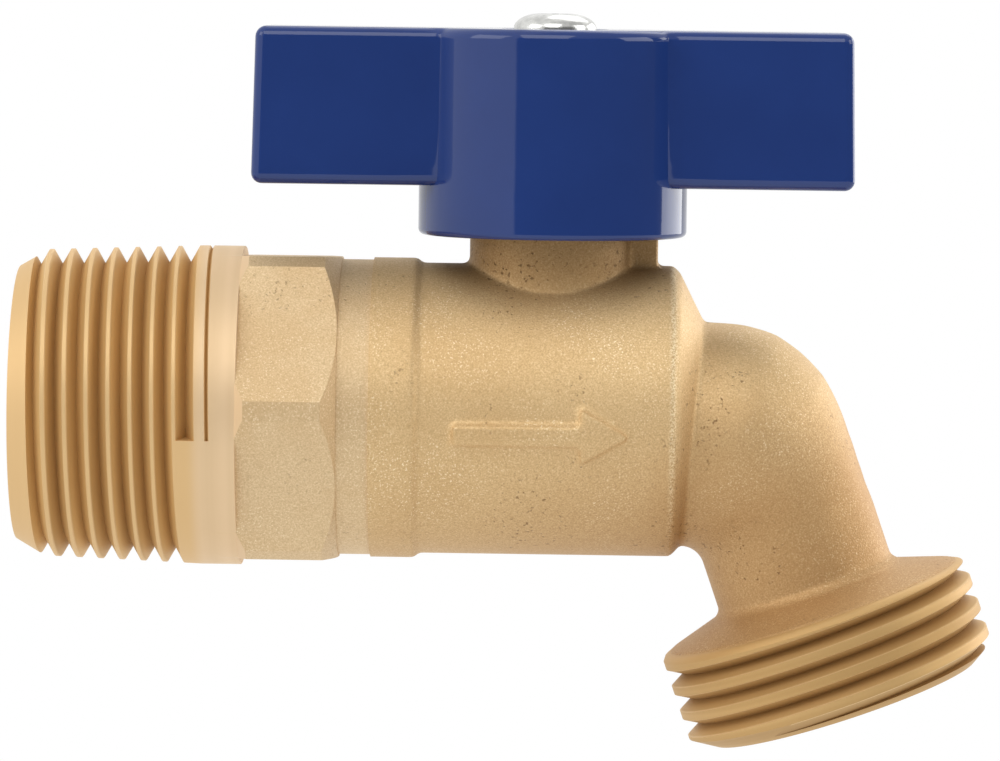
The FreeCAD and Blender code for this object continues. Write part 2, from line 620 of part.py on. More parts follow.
# Handle: die-cast tee with a round hub that drops over the boss. Under the hub a curved slot
# takes the stop lug and ends a quarter turn apart; the arms are cored from beneath.
def make_handle():
    body = new_body("handle")
    arms = rectangle(
        new_sketch(body, "arm_profile", "XY_Plane", {"z": "Sizes.arm_bottom"}),
        "-Sizes.arm_span / 2", "Sizes.arm_span / 2",
        "-Sizes.arm_thickness / 2", "Sizes.arm_thickness / 2",
    )
    arms_pad = extrude(body, "arms", arms, "Sizes.handle_top - Sizes.arm_bottom")

    def upright(edge, reach):
        box = edge.BoundBox
        return box.ZLength > 1 and box.XLength < 0.01 and abs(abs(box.XMin) - reach) < 0.01

    def level_at(edge, height):
        box = edge.BoundBox
        return box.ZLength < 0.01 and abs(box.ZMin - height) < 0.01

    tip_corners = edges_where(arms_pad, lambda edge: upright(edge, size("arm_span") / 2))
    tips = round_edges(body, "arm_tips", arms_pad, tip_corners, "Sizes.handle_edge_radius")
    underside = edges_where(tips, lambda edge: level_at(edge, size("arm_bottom")))
    round_edges(body, "arm_underside_edges", tips, underside, "Sizes.handle_edge_radius")

    hub = circle(
        new_sketch(body, "hub_profile", "XY_Plane", {"z": "Sizes.hub_bottom"}), "Sizes.hub_radius")
    hub_pad = extrude(body, "hub", hub, "Sizes.handle_top - Sizes.hub_bottom")
    inner_reach = math.sqrt(size("hub_radius") ** 2 - (size("arm_thickness") / 2) ** 2)
    inner_corners = edges_where(hub_pad, lambda edge: upright(edge, inner_reach))
    blended = round_edges(
        body, "hub_corners", hub_pad, inner_corners, "Sizes.handle_corner_fillet")
    rim = edges_where(blended, lambda edge: level_at(edge, size("handle_top")))
    rounded = round_edges(body, "handle_rim", blended, rim, "Sizes.handle_edge_radius")
    hub_edge = edges_where(rounded, lambda edge: level_at(edge, size("hub_bottom")))
    round_edges(body, "hub_lower_edge", rounded, hub_edge, "Sizes.hub_edge_radius")

    bottom = {"z": "Sizes.hub_bottom"}
    mouth = circle(
        new_sketch(body, "hub_mouth_profile", "XY_Plane", bottom),
        "Sizes.boss_radius + Sizes.boss_clearance",
    )
    extrude(body, "hub_mouth", mouth, "Sizes.drive_bottom - Sizes.hub_bottom", cut=True, reverse=True)
    # The slot starts just past the lug's clockwise side and runs on for a quarter turn and the lug.
    lug_half_angle = (
        "asin((Sizes.lug_width / 2 + Sizes.lug_end_clearance) / Sizes.boss_radius)"
    )
    slot = rectangle(
        new_sketch(body, "stop_slot_profile", "XZ_Plane", None, Vector(0, 1, 0), "-" + lug_half_angle),
        "Sizes.stem_radius", "Sizes.lug_reach + Sizes.lug_side_clearance",
        "Sizes.hub_bottom", "Sizes.lug_top + Sizes.lug_top_clearance",
    )
    revolve(
        body, "stop_slot", slot, axis="V_Axis", angle="90 deg + 2 * " + lug_half_angle, cut=True)

    half_socket = "(Sizes.drive_across_flats / 2 + Sizes.socket_clearance)"
    socket = rectangle(
        new_sketch(body, "socket_profile", "XY_Plane", bottom),
        "-" + half_socket, half_socket, "-" + half_socket, half_socket,
    )
    extrude(body, "socket", socket, SOCKET_TOP + " - Sizes.hub_bottom", cut=True, reverse=True)
    screw_hole = circle(
        new_sketch(body, "screw_hole_profile", "XY_Plane", {"z": "Sizes.handle_top"}),
        "Sizes.screw_radius + Sizes.fit_clearance * 2",
    )
    extrude(body, "screw_hole", screw_hole, "Sizes.handle_top - Sizes.drive_bottom", cut=True)
    recess = circle(
        new_sketch(body, "recess_profile", "XY_Plane", {"z": "Sizes.handle_top"}),
        "Sizes.recess_radius",
    )
    extrude(body, "screw_recess", recess, "Sizes.recess_depth", cut=True)

    for name, sign in (("left", "-"), ("right", "")):
        near = sign + "(Sizes.hub_radius + Sizes.arm_wall / 2)"
        far = sign + "(Sizes.arm_span / 2 - Sizes.arm_wall)"
        side = "(Sizes.arm_thickness / 2 - Sizes.arm_wall)"
        core = rectangle(
            new_sketch(body, name + "_core_profile", "XY_Plane", {"z": "Sizes.arm_bottom"}),
            near, far, "-" + side, side,
        )
        extrude(
            body, name + "_core", core,
            "Sizes.handle_top - Sizes.arm_wall - Sizes.arm_bottom", cut=True, reverse=True)
    return body


# Lock washer under the screw head, and the pan-head screw that clamps the handle to the stem.
def make_lock_washer():
    body = new_body("lock_washer")
    section = rectangle(
        new_sketch(body, "lock_washer_section", "XZ_Plane"),
        "Sizes.screw_radius + Sizes.fit_clearance * 2", "Sizes.lock_washer_radius",
        RECESS_FLOOR, RECESS_FLOOR + " + Sizes.lock_washer_thickness",
    )
    revolve(body, "lock_washer_ring", section, axis="V_Axis")
    return body


def make_handle_screw():
    body = new_body("handle_screw")
    seat = RECESS_FLOOR + " + Sizes.lock_washer_thickness"
    crown = seat + " + Sizes.screw_head_height"
    tip = "Sizes.drive_bottom + Sizes.drive_height - Sizes.screw_length + Sizes.socket_headroom"
    profile = outline(new_sketch(body, "screw_profile", "XZ_Plane"), [
        ("0", tip),
        ("Sizes.screw_radius", tip),
        ("Sizes.screw_radius", seat),
        ("Sizes.screw_head_radius", seat),
        ("Sizes.screw_head_radius", seat + " + Sizes.screw_head_rim_height"),
        ("Sizes.screw_shoulder_radius", seat + " + Sizes.screw_shoulder_height"),
        ("Sizes.screw_crown_radius", crown),
        ("0", crown),
    ])
    revolve(body, "screw_turned", profile, axis="V_Axis")
    half_width = "Sizes.screw_recess_width / 2"
    half_length = "Sizes.screw_recess_length / 2"
    for name, across, along in (
            ("cross_slot_a", half_width, half_length), ("cross_slot_b", half_length, half_width)):
        slot = rectangle(
            new_sketch(body, name + "_profile", "XY_Plane", {"z": crown}),
            "-" + across, across, "-" + along, along,
        )
        extrude(body, name, slot, "Sizes.screw_recess_depth", cut=True)
    return body


NODES = [
    make_inlet_connector(),
    make_body_seal(),
    make_valve_body(),
    make_seat("inlet_seat", -1),
    make_seat("outlet_seat", 1),
    make_ball(),
    make_stem(),
    make_thrust_washer(),
    make_stem_ring("stem_o_ring_lower", "Sizes.ring_height"),
    make_stem_ring("stem_o_ring_upper", "Sizes.ring_height + Sizes.ring_spacing"),
    make_handle(),
    make_lock_washer(),
    make_handle_screw(),
]
doc.recompute()

faults = [
    "%s: %s" % (item.Label, item.State)
    for item in doc.Objects
    if "Invalid" in item.State or "Error" in item.State
]
faults += [
    "%s: shape is null or not valid" % node.Label
    for node in NODES
    if node.Shape.isNull() or not node.Shape.isValid()
]
if faults:
    raise RuntimeError("; ".join(faults))

os.makedirs("parts", exist_ok=True)
for node in NODES:
    node.Shape.exportStep("parts/%s.step" % node.Label)
    box = node.Shape.BoundBox
    print("%-18s solids %d  volume %8.1f  x %6.2f..%6.2f  y %6.2f..%6.2f  z %6.2f..%6.2f" % (
        node.Label, len(node.Shape.Solids), node.Shape.Volume,
        box.XMin, box.XMax, box.YMin, box.YMax, box.ZMin, box.ZMax))
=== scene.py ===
# %% [markdown]
# # A quarter-turn hose bibb
#
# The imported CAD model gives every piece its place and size. This script dresses it: the two brass
# forgings, the painted tee handle and the zinc-plated screw are modelled again with their threads,
# soft forging edges and tool marks, and every piece gets a material made of shader nodes.
# All modelling is done with the operators that a person would click, so each step can be tried by hand.

import json
import math
from contextlib import contextmanager

import bpy
from mathutils import Matrix, Vector


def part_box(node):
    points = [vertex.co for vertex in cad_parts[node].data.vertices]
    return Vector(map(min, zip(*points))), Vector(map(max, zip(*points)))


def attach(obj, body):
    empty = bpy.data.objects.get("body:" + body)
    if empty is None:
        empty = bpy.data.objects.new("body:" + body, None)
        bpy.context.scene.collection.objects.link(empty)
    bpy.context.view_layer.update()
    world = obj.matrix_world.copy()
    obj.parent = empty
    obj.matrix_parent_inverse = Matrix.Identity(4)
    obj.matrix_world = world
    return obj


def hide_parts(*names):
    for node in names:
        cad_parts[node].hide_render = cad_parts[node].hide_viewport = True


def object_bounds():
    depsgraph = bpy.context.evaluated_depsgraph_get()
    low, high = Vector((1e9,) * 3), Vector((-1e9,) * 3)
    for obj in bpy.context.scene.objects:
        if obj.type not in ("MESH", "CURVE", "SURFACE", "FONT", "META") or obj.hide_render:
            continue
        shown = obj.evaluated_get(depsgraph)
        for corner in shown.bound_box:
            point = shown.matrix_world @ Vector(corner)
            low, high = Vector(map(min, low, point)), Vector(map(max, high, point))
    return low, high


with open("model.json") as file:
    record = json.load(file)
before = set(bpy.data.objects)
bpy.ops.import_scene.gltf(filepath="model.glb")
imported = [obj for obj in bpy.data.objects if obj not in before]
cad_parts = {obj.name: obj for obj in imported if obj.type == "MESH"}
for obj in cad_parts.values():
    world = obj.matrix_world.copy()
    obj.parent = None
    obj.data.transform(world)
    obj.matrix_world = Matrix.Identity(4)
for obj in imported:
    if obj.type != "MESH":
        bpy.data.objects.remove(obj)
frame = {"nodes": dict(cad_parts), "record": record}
cad_low, cad_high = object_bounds()
print("frame:", sorted(frame["nodes"]))

# %% [markdown]
# ## Places taken from the frame
#
# Blender works in metres and the sizes of a fitting are read in millimetres, so MM turns one into
# the other. The stem's axis is the middle of the handle, the seam is where the valve body begins,
# and the record's hose thread says where the spout points. Reading them here means that the looks
# stay on the CAD even when a size changes.

# %% Axes and places
MM = 0.001
BARREL_LENGTH = 10.9


def box_mm(node):
    """Lowest and highest corner of a CAD node, in millimetres."""
    low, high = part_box(node)
    return low / MM, high / MM


handle_low, handle_high = box_mm("handle")
stem_x = (handle_low.x + handle_high.x) / 2
seam_x = box_mm("valve_body")[0].x
hose_mount = next(mount for mount in frame["record"]["mounts"] if mount["name"] == "hose_thread")
outlet_place = Vector(hose_mount["pos_m"])
outlet_axis = Vector(hose_mount["axis"]).normalized()
spout_tilt = math.atan2(outlet_axis.x, -outlet_axis.z)

ALONG_BODY = Matrix.Identity(4)
AT_STEM = Matrix.Translation((stem_x * MM, 0, 0))
UP_STEM = AT_STEM @ Matrix.Rotation(-math.pi / 2, 4, "Y")
DOWN_SPOUT = Matrix.Translation(outlet_place) @ Matrix.Rotation(math.pi / 2 - spout_tilt, 4, "Y")
print("stem axis at %.2f mm, seam at %.2f mm, spout tilted %.1f degrees"
      % (stem_x, seam_x, math.degrees(spout_tilt)))

# %% [markdown]
# ## The camera
#
# The photograph was taken with a long lens, almost square to the body, a little from above and with
# the fitting rolled by less than a degree. A long lens from far away keeps the two ends of the
# fitting the same size. The camera's axes are written out as a matrix, which says exactly where its
# right, its top and its back point. The Standard view shows each colour as it is written.

# %% Camera
VIEW_TARGET = Vector((40.74, 0, 2.39)) * MM
VIEW_DISTANCE = 500.0 * MM
VIEW_YAW = math.radians(-0.8)
VIEW_ELEVATION = math.radians(3.8)
VIEW_ROLL = math.radians(0.77)
SENSOR_WIDTH = 36.0
FOCAL_PER_IMAGE_WIDTH = 5.899

forward = Vector((
    math.sin(VIEW_YAW) * math.cos(VIEW_ELEVATION),
    math.cos(VIEW_YAW) * math.cos(VIEW_ELEVATION),
    -math.sin(VIEW_ELEVATION),
))
level_right = Vector((math.cos(VIEW_YAW), -math.sin(VIEW_YAW), 0))
level_up = level_right.cross(forward)
right = level_right * math.cos(VIEW_ROLL) + level_up * math.sin(VIEW_ROLL)
up = level_up * math.cos(VIEW_ROLL) - level_right * math.sin(VIEW_ROLL)

camera_data = bpy.data.cameras.new("photo_camera")
camera_data.sensor_width = SENSOR_WIDTH
camera_data.lens = FOCAL_PER_IMAGE_WIDTH * SENSOR_WIDTH
camera_data.clip_start = 0.01
camera_data.clip_end = 50
camera = bpy.data.objects.new("photo_camera", camera_data)
bpy.context.scene.collection.objects.link(camera)
axes = Matrix((right, up, -forward)).transposed().to_4x4()
camera.matrix_world = Matrix.Translation(VIEW_TARGET - forward * VIEW_DISTANCE) @ axes
bpy.context.scene.camera = camera
bpy.context.scene.view_settings.view_transform = "Standard"
print("lens %.0f mm" % camera_data.lens)

# %% [markdown]
# ## Small helpers for modelling
#
# An operator works on everything that is selected, so each helper first clears the selection and
# then takes hold of its own piece. `in_edit_mode` is a short way to go into edit mode and out again,
# and `modify` adds a modifier and writes its result into the mesh at once.

# %% Modelling helpers
def hold(piece):
    """Makes one piece the only selected and the active one."""
    bpy.ops.object.select_all(action="DESELECT")
    piece.select_set(True)
    bpy.context.view_layer.objects.active = piece


@contextmanager
def in_edit_mode(piece, kind="FACE", first=None):
    """Edit mode on one piece, with faces, edges or vertices being chosen, all or none at first."""
    hold(piece)
    bpy.ops.object.mode_set(mode="EDIT")
    bpy.ops.mesh.select_mode(type=kind)
    if first:
        bpy.ops.mesh.select_all(action=first)
    yield
    bpy.ops.object.mode_set(mode="OBJECT")


def settle(piece, place):
    """Puts a piece at its place and writes that place into its mesh."""
    hold(piece)
    piece.matrix_basis = place @ piece.matrix_basis
    bpy.ops.object.transform_apply(location=True, rotation=True, scale=True)
    return piece


def face_outwards(piece):
    """Turns every face of a closed piece outwards."""
    with in_edit_mode(piece, first="SELECT"):
        bpy.ops.mesh.normals_make_consistent(inside=False)


def modify(piece, name, kind, **options):
    """Writes one modifier's result into the mesh."""
    modifier = piece.modifiers.new(name, kind)
    for option, value in options.items():
        setattr(modifier, option, value)
    hold(piece)
    bpy.ops.object.modifier_apply(modifier=modifier.name)


def pick(piece, kind, test):
    """Selects only the vertices, edges or polygons of a piece that pass a test."""
    with in_edit_mode(piece, first="DESELECT"):
        pass
    for element in getattr(piece.data, kind):
        element.select = test(element)


def round_edges(piece, chosen, radius, steps):
    """Rounds the edges that pass a test on their two ends, given in millimetres from the stem axis."""
    shift = Vector((stem_x, 0, 0))
    mesh = piece.data
    pick(piece, "edges", lambda edge: chosen(*(
        mesh.vertices[index].co / MM - shift for index in edge.vertices)))
    with in_edit_mode(piece, "EDGE"):
        bpy.ops.mesh.bevel(
            offset=radius * MM, offset_type="OFFSET", segments=steps, profile=0.5, clamp_overlap=False)


def block(name, low, high, corner=0.0):
    """A block between two corners in millimetres from the stem axis, with rounded edges if asked."""
    bpy.ops.mesh.primitive_cube_add(size=1)
    piece = bpy.context.object
    piece.name = piece.data.name = name
    piece.scale = (Vector(high) - Vector(low)) * MM
    middle = (Vector(high) + Vector(low)) / 2 + Vector((stem_x, 0, 0))
    settle(piece, Matrix.Translation(middle * MM))
    if corner:
        round_edges(piece, lambda a, b: True, corner, 4)
    return piece


def machine(piece, tool, operation="DIFFERENCE"):
    """Cuts a tool out of a piece, or welds it on; the cut faces take the tool's own finish."""
    modify(
        piece, "machining", "BOOLEAN", operation=operation, object=tool, solver="MANIFOLD",
        material_mode="TRANSFER")
    bpy.data.objects.remove(tool)
    return piece


print("helpers: edit mode, modifiers, rounded edges, blocks and cutting")

# %% [markdown]
# ## Turning on a lathe
#
# Most of a tap is turned. `turned` starts with a round plate and pulls its end face from station to
# station, each one a pair of place along the axis and radius, exactly as extrude and scale do by
# hand. A path that goes back on itself hollows the piece out. The same helper makes the cutters that
# bore the ports.

# %% Turned solids
ROUND_SIDES = 160
TOOL_RADIUS = 20.0


def turned(name, stations, place=ALONG_BODY, sides=ROUND_SIDES, finish=None):
    """A closed solid of revolution through (along, radius) stations in millimetres."""
    along, radius = stations[0]
    bpy.ops.mesh.primitive_circle_add(
        vertices=sides, radius=radius * MM, fill_type="NGON",
        location=(along * MM, 0, 0), rotation=(0, math.pi / 2, 0))
    piece = bpy.context.object
    piece.name = piece.data.name = name
    settle(piece, ALONG_BODY)
    with in_edit_mode(piece, first="SELECT"):
        for next_along, next_radius in stations[1:]:
            bpy.ops.mesh.extrude_region_move(
                TRANSFORM_OT_translate={"value": ((next_along - along) * MM, 0, 0)})
            growth = next_radius / radius
            bpy.ops.transform.resize(
                value=(1, growth, growth), center_override=(next_along * MM, 0, 0))
            along, radius = next_along, next_radius
    face_outwards(piece)
    if finish:
        piece.data.materials.append(finish)
    return settle(piece, place)


def facing(name, start, end, radius=TOOL_RADIUS, place=ALONG_BODY, finish=None):
    """A plain round cutter between two places along an axis."""
    return turned(name, [(start, radius), (end, radius)], place, finish=finish)


print("a turned solid has", ROUND_SIDES, "sides")

# %% [markdown]
# ## Hot forging
#
# A forging has no sharp inner corner anywhere: the die's edges are rounded so that the metal flows.
# The rough shapes are joined and remeshed into one skin of small even squares, and smoothing that
# skin rounds every edge and fills every corner, as the die does. What is machined afterwards is cut
# into this skin, so its edges stay crisp.

# %% Forging helper
FORGING_VOXEL = 0.24


def dress(piece, finish):
    """Gives a whole piece one finish."""
    piece.data.materials.clear()
    piece.data.materials.append(finish)
    for polygon in piece.data.polygons:
        polygon.material_index = 0


def forged(name, parts, softening, finish):
    """Joins closed shapes into one skin with softened edges."""
    hold(parts[0])
    for part in parts:
        part.select_set(True)
    bpy.ops.object.join()
    piece = bpy.context.object
    piece.name = piece.data.name = name
    modify(piece, "skin", "REMESH", mode="VOXEL", voxel_size=FORGING_VOXEL * MM)
    modify(piece, "soft", "SMOOTH", factor=0.5, iterations=softening)
    dress(piece, finish)
    print("%s: %d faces" % (name, len(piece.data.polygons)))
    return piece


# %% [markdown]
# ## Shader node helpers
#
# Materials are built from nodes. An input socket takes either a value or a wire, and `fill` does
# whichever it is given, so a whole node with its wires is one line. The helpers give back the output
# that the next node needs, which lets each material be read from top to bottom.

# %% Node helpers
def fill(tree, socket, value):
    """Gives an input socket a number or a colour, or wires an output to it."""
    if isinstance(value, bpy.types.NodeSocket):
        tree.links.new(value, socket)
    else:
        socket.default_value = value


def add_node(tree, kind, name="", settings=None, **values):
    """One node, with its options and what goes into its input sockets."""
    node = tree.nodes.new("ShaderNode" + kind)
    node.label = name
    for option, value in (settings or {}).items():
        setattr(node, option, value)
    for socket, value in values.items():
        fill(tree, node.inputs[socket.replace("_", " ")], value)
    return node


def maths(tree, operation, *values, name="", kind="Math"):
    """The result of a sum on some values."""
    node = add_node(tree, kind, name, {"operation": operation})
    for socket, value in zip(node.inputs, values):
        fill(tree, socket, value)
    return node.outputs["Value"]


def object_place(tree):
    """Where a point lies in its own object."""
    return add_node(tree, "TexCoord").outputs["Object"]


def noise(tree, name, place, **values):
    """Soft random values between 0 and 1."""
    return add_node(tree, "TexNoise", name, Vector=place, **values).outputs["Fac"]


def mapped(tree, value, low, high, to_low=0.0, to_high=1.0, smooth=False, name=""):
    """A value taken from one range to another, with soft ends if asked."""
    settings = {"interpolation_type": "SMOOTHSTEP" if smooth else "LINEAR"}
    node = add_node(
        tree, "MapRange", name, settings,
        Value=value, From_Min=low, From_Max=high, To_Min=to_low, To_Max=to_high)
    return node.outputs["Result"]


def colour_ramp(tree, value, *stops):
    """A value turned into a colour through (position, colour) stops."""
    node = add_node(tree, "ValToRGB", Fac=value)
    elements = node.color_ramp.elements
    elements[0].position, elements[0].color = stops[0]
    elements[1].position, elements[1].color = stops[-1]
    for position, colour in stops[1:-1]:
        elements.new(position).color = colour
    return node.outputs["Color"]


def tint(tree, mask, under, colour, share=1.0, blend="MIX"):
    """Lays a colour over another where a mask is bright."""
    if share != 1.0:
        mask = maths(tree, "MULTIPLY", mask, share)
    node = add_node(tree, "Mix", settings={"data_type": "RGBA", "blend_type": blend})
    for index, value in ((0, mask), (6, under), (7, colour)):
        fill(tree, node.inputs[index], value)
    return node.outputs[2]


def distance_off_axis(tree, axis):
    """How far a split place lies from its first axis."""
    across = add_node(tree, "CombineXYZ", "across the axis", Y=axis["Y"], Z=axis["Z"])
    return maths(tree, "LENGTH", across.outputs["Vector"], kind="VectorMath")


def new_group(name, outputs, **inputs):
    """An empty node group with named number inputs and outputs."""
    group = bpy.data.node_groups.new(name, "ShaderNodeTree")
    for title, value in inputs.items():
        socket = group.interface.new_socket(
            title.replace("_", " "), in_out="INPUT", socket_type="NodeSocketFloat")
        socket.default_value = value
    for title in outputs:
        group.interface.new_socket(title, in_out="OUTPUT", socket_type="NodeSocketFloat")
    return group, group.nodes.new("NodeGroupInput"), group.nodes.new("NodeGroupOutput").inputs


# %% [markdown]
# ## Effect: shot-blasted grain
#
# Hot-forged brass is blasted with shot, which leaves a fine grain. Where scale sat in the die the
# skin is pitted. The glint mask marks single grains that get a painted highlight, and pits and
# glints come in clusters. Slow noise makes the clusters and the patches that are a little redder or
# paler. The group puts out a height for bump and four masks for colour.

# %% Group: blasted grain
PIT_LEVEL = 0.62
GLINT_LEVEL = 0.60
SPOT_EDGE = 0.10
OUTSIDE_CLUSTERS = 0.08
PIT_DEPTH = -2.0


def blasted_grain_group():
    group, entry, result = new_group(
        "blasted grain", ["Height", "Speckle", "Patch", "Pit", "Glint"],
        Grain=7000.0, Pits=2600.0, Patches=70.0, Clusters=130.0)
    source = entry.outputs
    place = object_place(group)
    grain = noise(group, "grain", place, Scale=source["Grain"], Detail=2.0, Roughness=0.6)
    pits = noise(group, "pits", place, Scale=source["Pits"], Detail=2.0, Roughness=0.5)
    clusters = noise(group, "clusters", place, Scale=source["Clusters"], Detail=1.0)
    patches = noise(group, "patches", place, Scale=source["Patches"], Detail=5.0, Roughness=0.6)
    masks = []
    for spots, level, where in ((pits, PIT_LEVEL, (0.50, 0.36)), (grain, GLINT_LEVEL, (0.50, 0.64))):
        alone = mapped(group, spots, level, level + SPOT_EDGE, smooth=True, name="spots")
        cluster = mapped(group, clusters, *where, to_low=OUTSIDE_CLUSTERS, name="where they cluster")
        masks.append(maths(group, "MULTIPLY", alone, cluster))
    height = maths(group, "MULTIPLY_ADD", masks[0], PIT_DEPTH, grain, name="pits are low")
    for socket, value in zip(result, (height, grain, patches, masks[0], masks[1])):
        fill(group, socket, value)
    return group


blasted_grain = blasted_grain_group()
print("group:", blasted_grain.name)

# %% [markdown]
# ## Effect: tool marks
#
# A lathe tool leaves fine rings round the axis. Noise that is stretched almost flat along two
# directions and kept fine along the third looks just so. The coordinates come in already turned, so
# that the first direction is the axis of the lathe.

# %% Group: tool marks
ROUND_THE_PIECE = 60.0
BROAD_BANDS = 0.12


def place_input(group, entry):
    """A group's input for a place, split into its three directions."""
    group.interface.new_socket("Place", in_out="INPUT", socket_type="NodeSocketVector")
    return add_node(group, "SeparateXYZ", Vector=entry.outputs["Place"]).outputs


def tool_marks_group():
    group, entry, result = new_group("tool marks", ["Height", "Tone"], Rings=5200.0)
    axis = place_input(group, entry)
    along = maths(group, "MULTIPLY", axis["X"], entry.outputs["Rings"], name="rings per metre")
    around = maths(group, "MULTIPLY", axis["Z"], ROUND_THE_PIECE, name="slow round the piece")
    stretched = add_node(group, "CombineXYZ", X=along, Y=around).outputs["Vector"]
    rings = noise(group, "rings", stretched, Scale=1.0, Detail=3.0, Roughness=0.7)
    broad = noise(group, "broad bands", stretched, Scale=BROAD_BANDS, Detail=2.0)
    fill(group, result["Height"], rings)
    fill(group, result["Tone"], broad)
    return group


tool_marks = tool_marks_group()
print("group:", tool_marks.name)

# %% [markdown]
# ## Effect: thread depth
#
# The bottom of a thread gets painted shade and its crests a painted highlight. How deep a point
# lies is its distance from the axis of the thread, set against the radius of the crest there, which
# grows along a tapered thread.

# %% Group: thread depth
def thread_depth_group():
    group, entry, result = new_group(
        "thread depth", ["Crest", "Root"], Crest_radius=0.0135, Growth=0.0, Depth=0.0013)
    axis = place_input(group, entry)
    source = entry.outputs
    crest = maths(
        group, "MULTIPLY_ADD", axis["X"], source["Growth"], source["Crest radius"],
        name="radius of the crest")
    below = maths(group, "SUBTRACT", crest, distance_off_axis(group, axis))
    share = maths(group, "DIVIDE", below, source["Depth"], name="share of the depth")
    for title, none_at, full_at in (("Crest", 0.16, 0.02), ("Root", 0.25, 1.0)):
        fill(group, result[title], mapped(group, share, none_at, full_at, smooth=True, name=title))
    return group


thread_depth = thread_depth_group()
print("group:", thread_depth.name)

# %% [markdown]
# ## Effect: band along an axis
#
# Some places of a forging get painted light: painted shade under the handle and down the spout, and
# a painted highlight on the rim of the barrel. A band is 1 at one place along an axis and fades to 0
# at another. Two bands multiplied pick a zone.

# %% Group: band
def band_group():
    group, entry, result = new_group("band", ["Mask"], Value=0.0, Full_at=0.0, Gone_at=0.01)
    source = entry.outputs
    fade = mapped(group, source["Value"], source["Gone at"], source["Full at"], smooth=True, name="fade")
    fill(group, result["Mask"], fade)
    return group


band = band_group()
print("group:", band.name)

# %% [markdown]
# ## Brass as it is forged
#
# The colour goes from red-brown in the slow patches to pale straw in the bright grains. The metal
# stays rough, because blasting scatters the light, and single grains are smoother than the rest, so
# they glint, and their glints are also painted into the colour as painted highlights. Painted shade
# darkens the skin under the handle and towards the spout's end, and a painted highlight brightens
# the rim of the barrel.

# %% Material: forged brass
PATCH_RED = (0.55, 0.33, 0.13, 1)
PIT_BROWN = (0.22, 0.12, 0.04, 1)
PAINTED_GLINT_STRAW = (1.0, 0.90, 0.66, 1)
PAINTED_SHADE_UNDER_HANDLE = (0.60, 0.53, 0.44, 1)
PAINTED_RIM_HIGHLIGHT = (1.0, 0.86, 0.58, 1)
PAINTED_SHADE_OF_SPOUT = (0.76, 0.67, 0.58, 1)
RIM_BEFORE_END = 0.6


def add_group(tree, group, **values):
    """A group in a material, with what goes into it; gives what comes out, to be picked by name."""
    return add_node(tree, "Group", settings={"node_tree": group}, **values).outputs


def new_material(name):
    """A material with its Principled shader."""
    material = bpy.data.materials.new(name)
    material.use_nodes = True
    return material, material.node_tree, material.node_tree.nodes["Principled BSDF"]


def surface(tree, shader, colour, rough, height, strength, depth, **numbers):
    """Feeds a shader its colour, roughness and bump, and plain numbers that are the same all over."""
    bump = add_node(tree, "Bump", Strength=strength, Distance=depth, Height=height).outputs["Normal"]
    for socket, value in dict(Base_Color=colour, Roughness=rough, Normal=bump, **numbers).items():
        fill(tree, shader.inputs[socket.replace("_", " ")], value)


def lathe_place(tree, place):
    """Object coordinates whose first direction is one of the fitting's axes."""
    return add_node(
        tree, "Mapping", settings={"vector_type": "TEXTURE"}, Vector=object_place(tree),
        Location=place.translation, Rotation=place.to_euler()).outputs["Vector"]


def split_place(tree, place):
    """The three directions of one of the fitting's axes."""
    return add_node(tree, "SeparateXYZ", Vector=lathe_place(tree, place)).outputs


def place_band(tree, value, full_at, gone_at):
    """A zone mask that is 1 at one value, given in millimetres, and 0 at another."""
    return add_group(tree, band, Value=value, Full_at=full_at * MM, Gone_at=gone_at * MM)["Mask"]


def body_painted_light(tree, top, speckle):
    """Lays painted light over the body's grain: painted shade under the handle and down the spout, a
    painted highlight on the rim.
    """
    from_stem = split_place(tree, UP_STEM)
    along_body = split_place(tree, ALONG_BODY)
    # Painted shade: the skin high on the body and near the stem is darkened under the handle.
    painted_shade_under_handle = maths(
        tree, "MULTIPLY", place_band(tree, along_body["Z"], 12.5, 7.0),
        place_band(tree, distance_off_axis(tree, from_stem), 8.5, 12.5))
    top = tint(tree, painted_shade_under_handle, top, PAINTED_SHADE_UNDER_HANDLE, blend="MULTIPLY")
    # Painted highlight: a bright straw band round the rim at the barrel's end, broken up by the grain.
    rim_x = stem_x + BARREL_LENGTH - RIM_BEFORE_END
    rim = maths(
        tree, "MULTIPLY", place_band(tree, along_body["X"], rim_x, rim_x - 0.5),
        place_band(tree, along_body["X"], rim_x, rim_x + 0.4))
    broken_up = mapped(tree, speckle, 0.42, 0.60, name="broken up by the grain")
    top = tint(tree, maths(tree, "MULTIPLY", rim, broken_up), top, PAINTED_RIM_HIGHLIGHT, 0.7)
    # Painted shade: the spout's skin is darkened towards its end.
    painted_spout_shade = place_band(tree, split_place(tree, DOWN_SPOUT)["X"], -11, -28)
    return tint(tree, painted_spout_shade, top, PAINTED_SHADE_OF_SPOUT, blend="MULTIPLY")


def forged_brass_material(name, tones, pit_share, painted_glint_share, body_forging):
    """Blasted brass with painted glints; the body's forging also gets painted shade under the handle and
    towards the spout's end, and a painted highlight on the rim.
    """
    material, tree, shader = new_material(name)
    grain = add_group(tree, blasted_grain)
    top = colour_ramp(tree, grain["Speckle"], *zip((0.28, 0.50, 0.74), tones))
    patch = mapped(tree, grain["Patch"], 0.42, 0.68, smooth=True, name="redder patches")
    top = tint(tree, patch, top, PATCH_RED, 0.30)
    top = tint(tree, grain["Pit"], top, PIT_BROWN, pit_share)
    # Painted highlight: single grains in clusters are tinted pale straw as glints.
    top = tint(tree, grain["Glint"], top, PAINTED_GLINT_STRAW, painted_glint_share)
    if body_forging:
        top = body_painted_light(tree, top, grain["Speckle"])
    rough = mapped(tree, grain["Speckle"], 0.0, 1.0, 0.68, 0.42)
    surface(tree, shader, top, rough, grain["Height"], 0.5, 0.00006, Metallic=0.55)
    return material


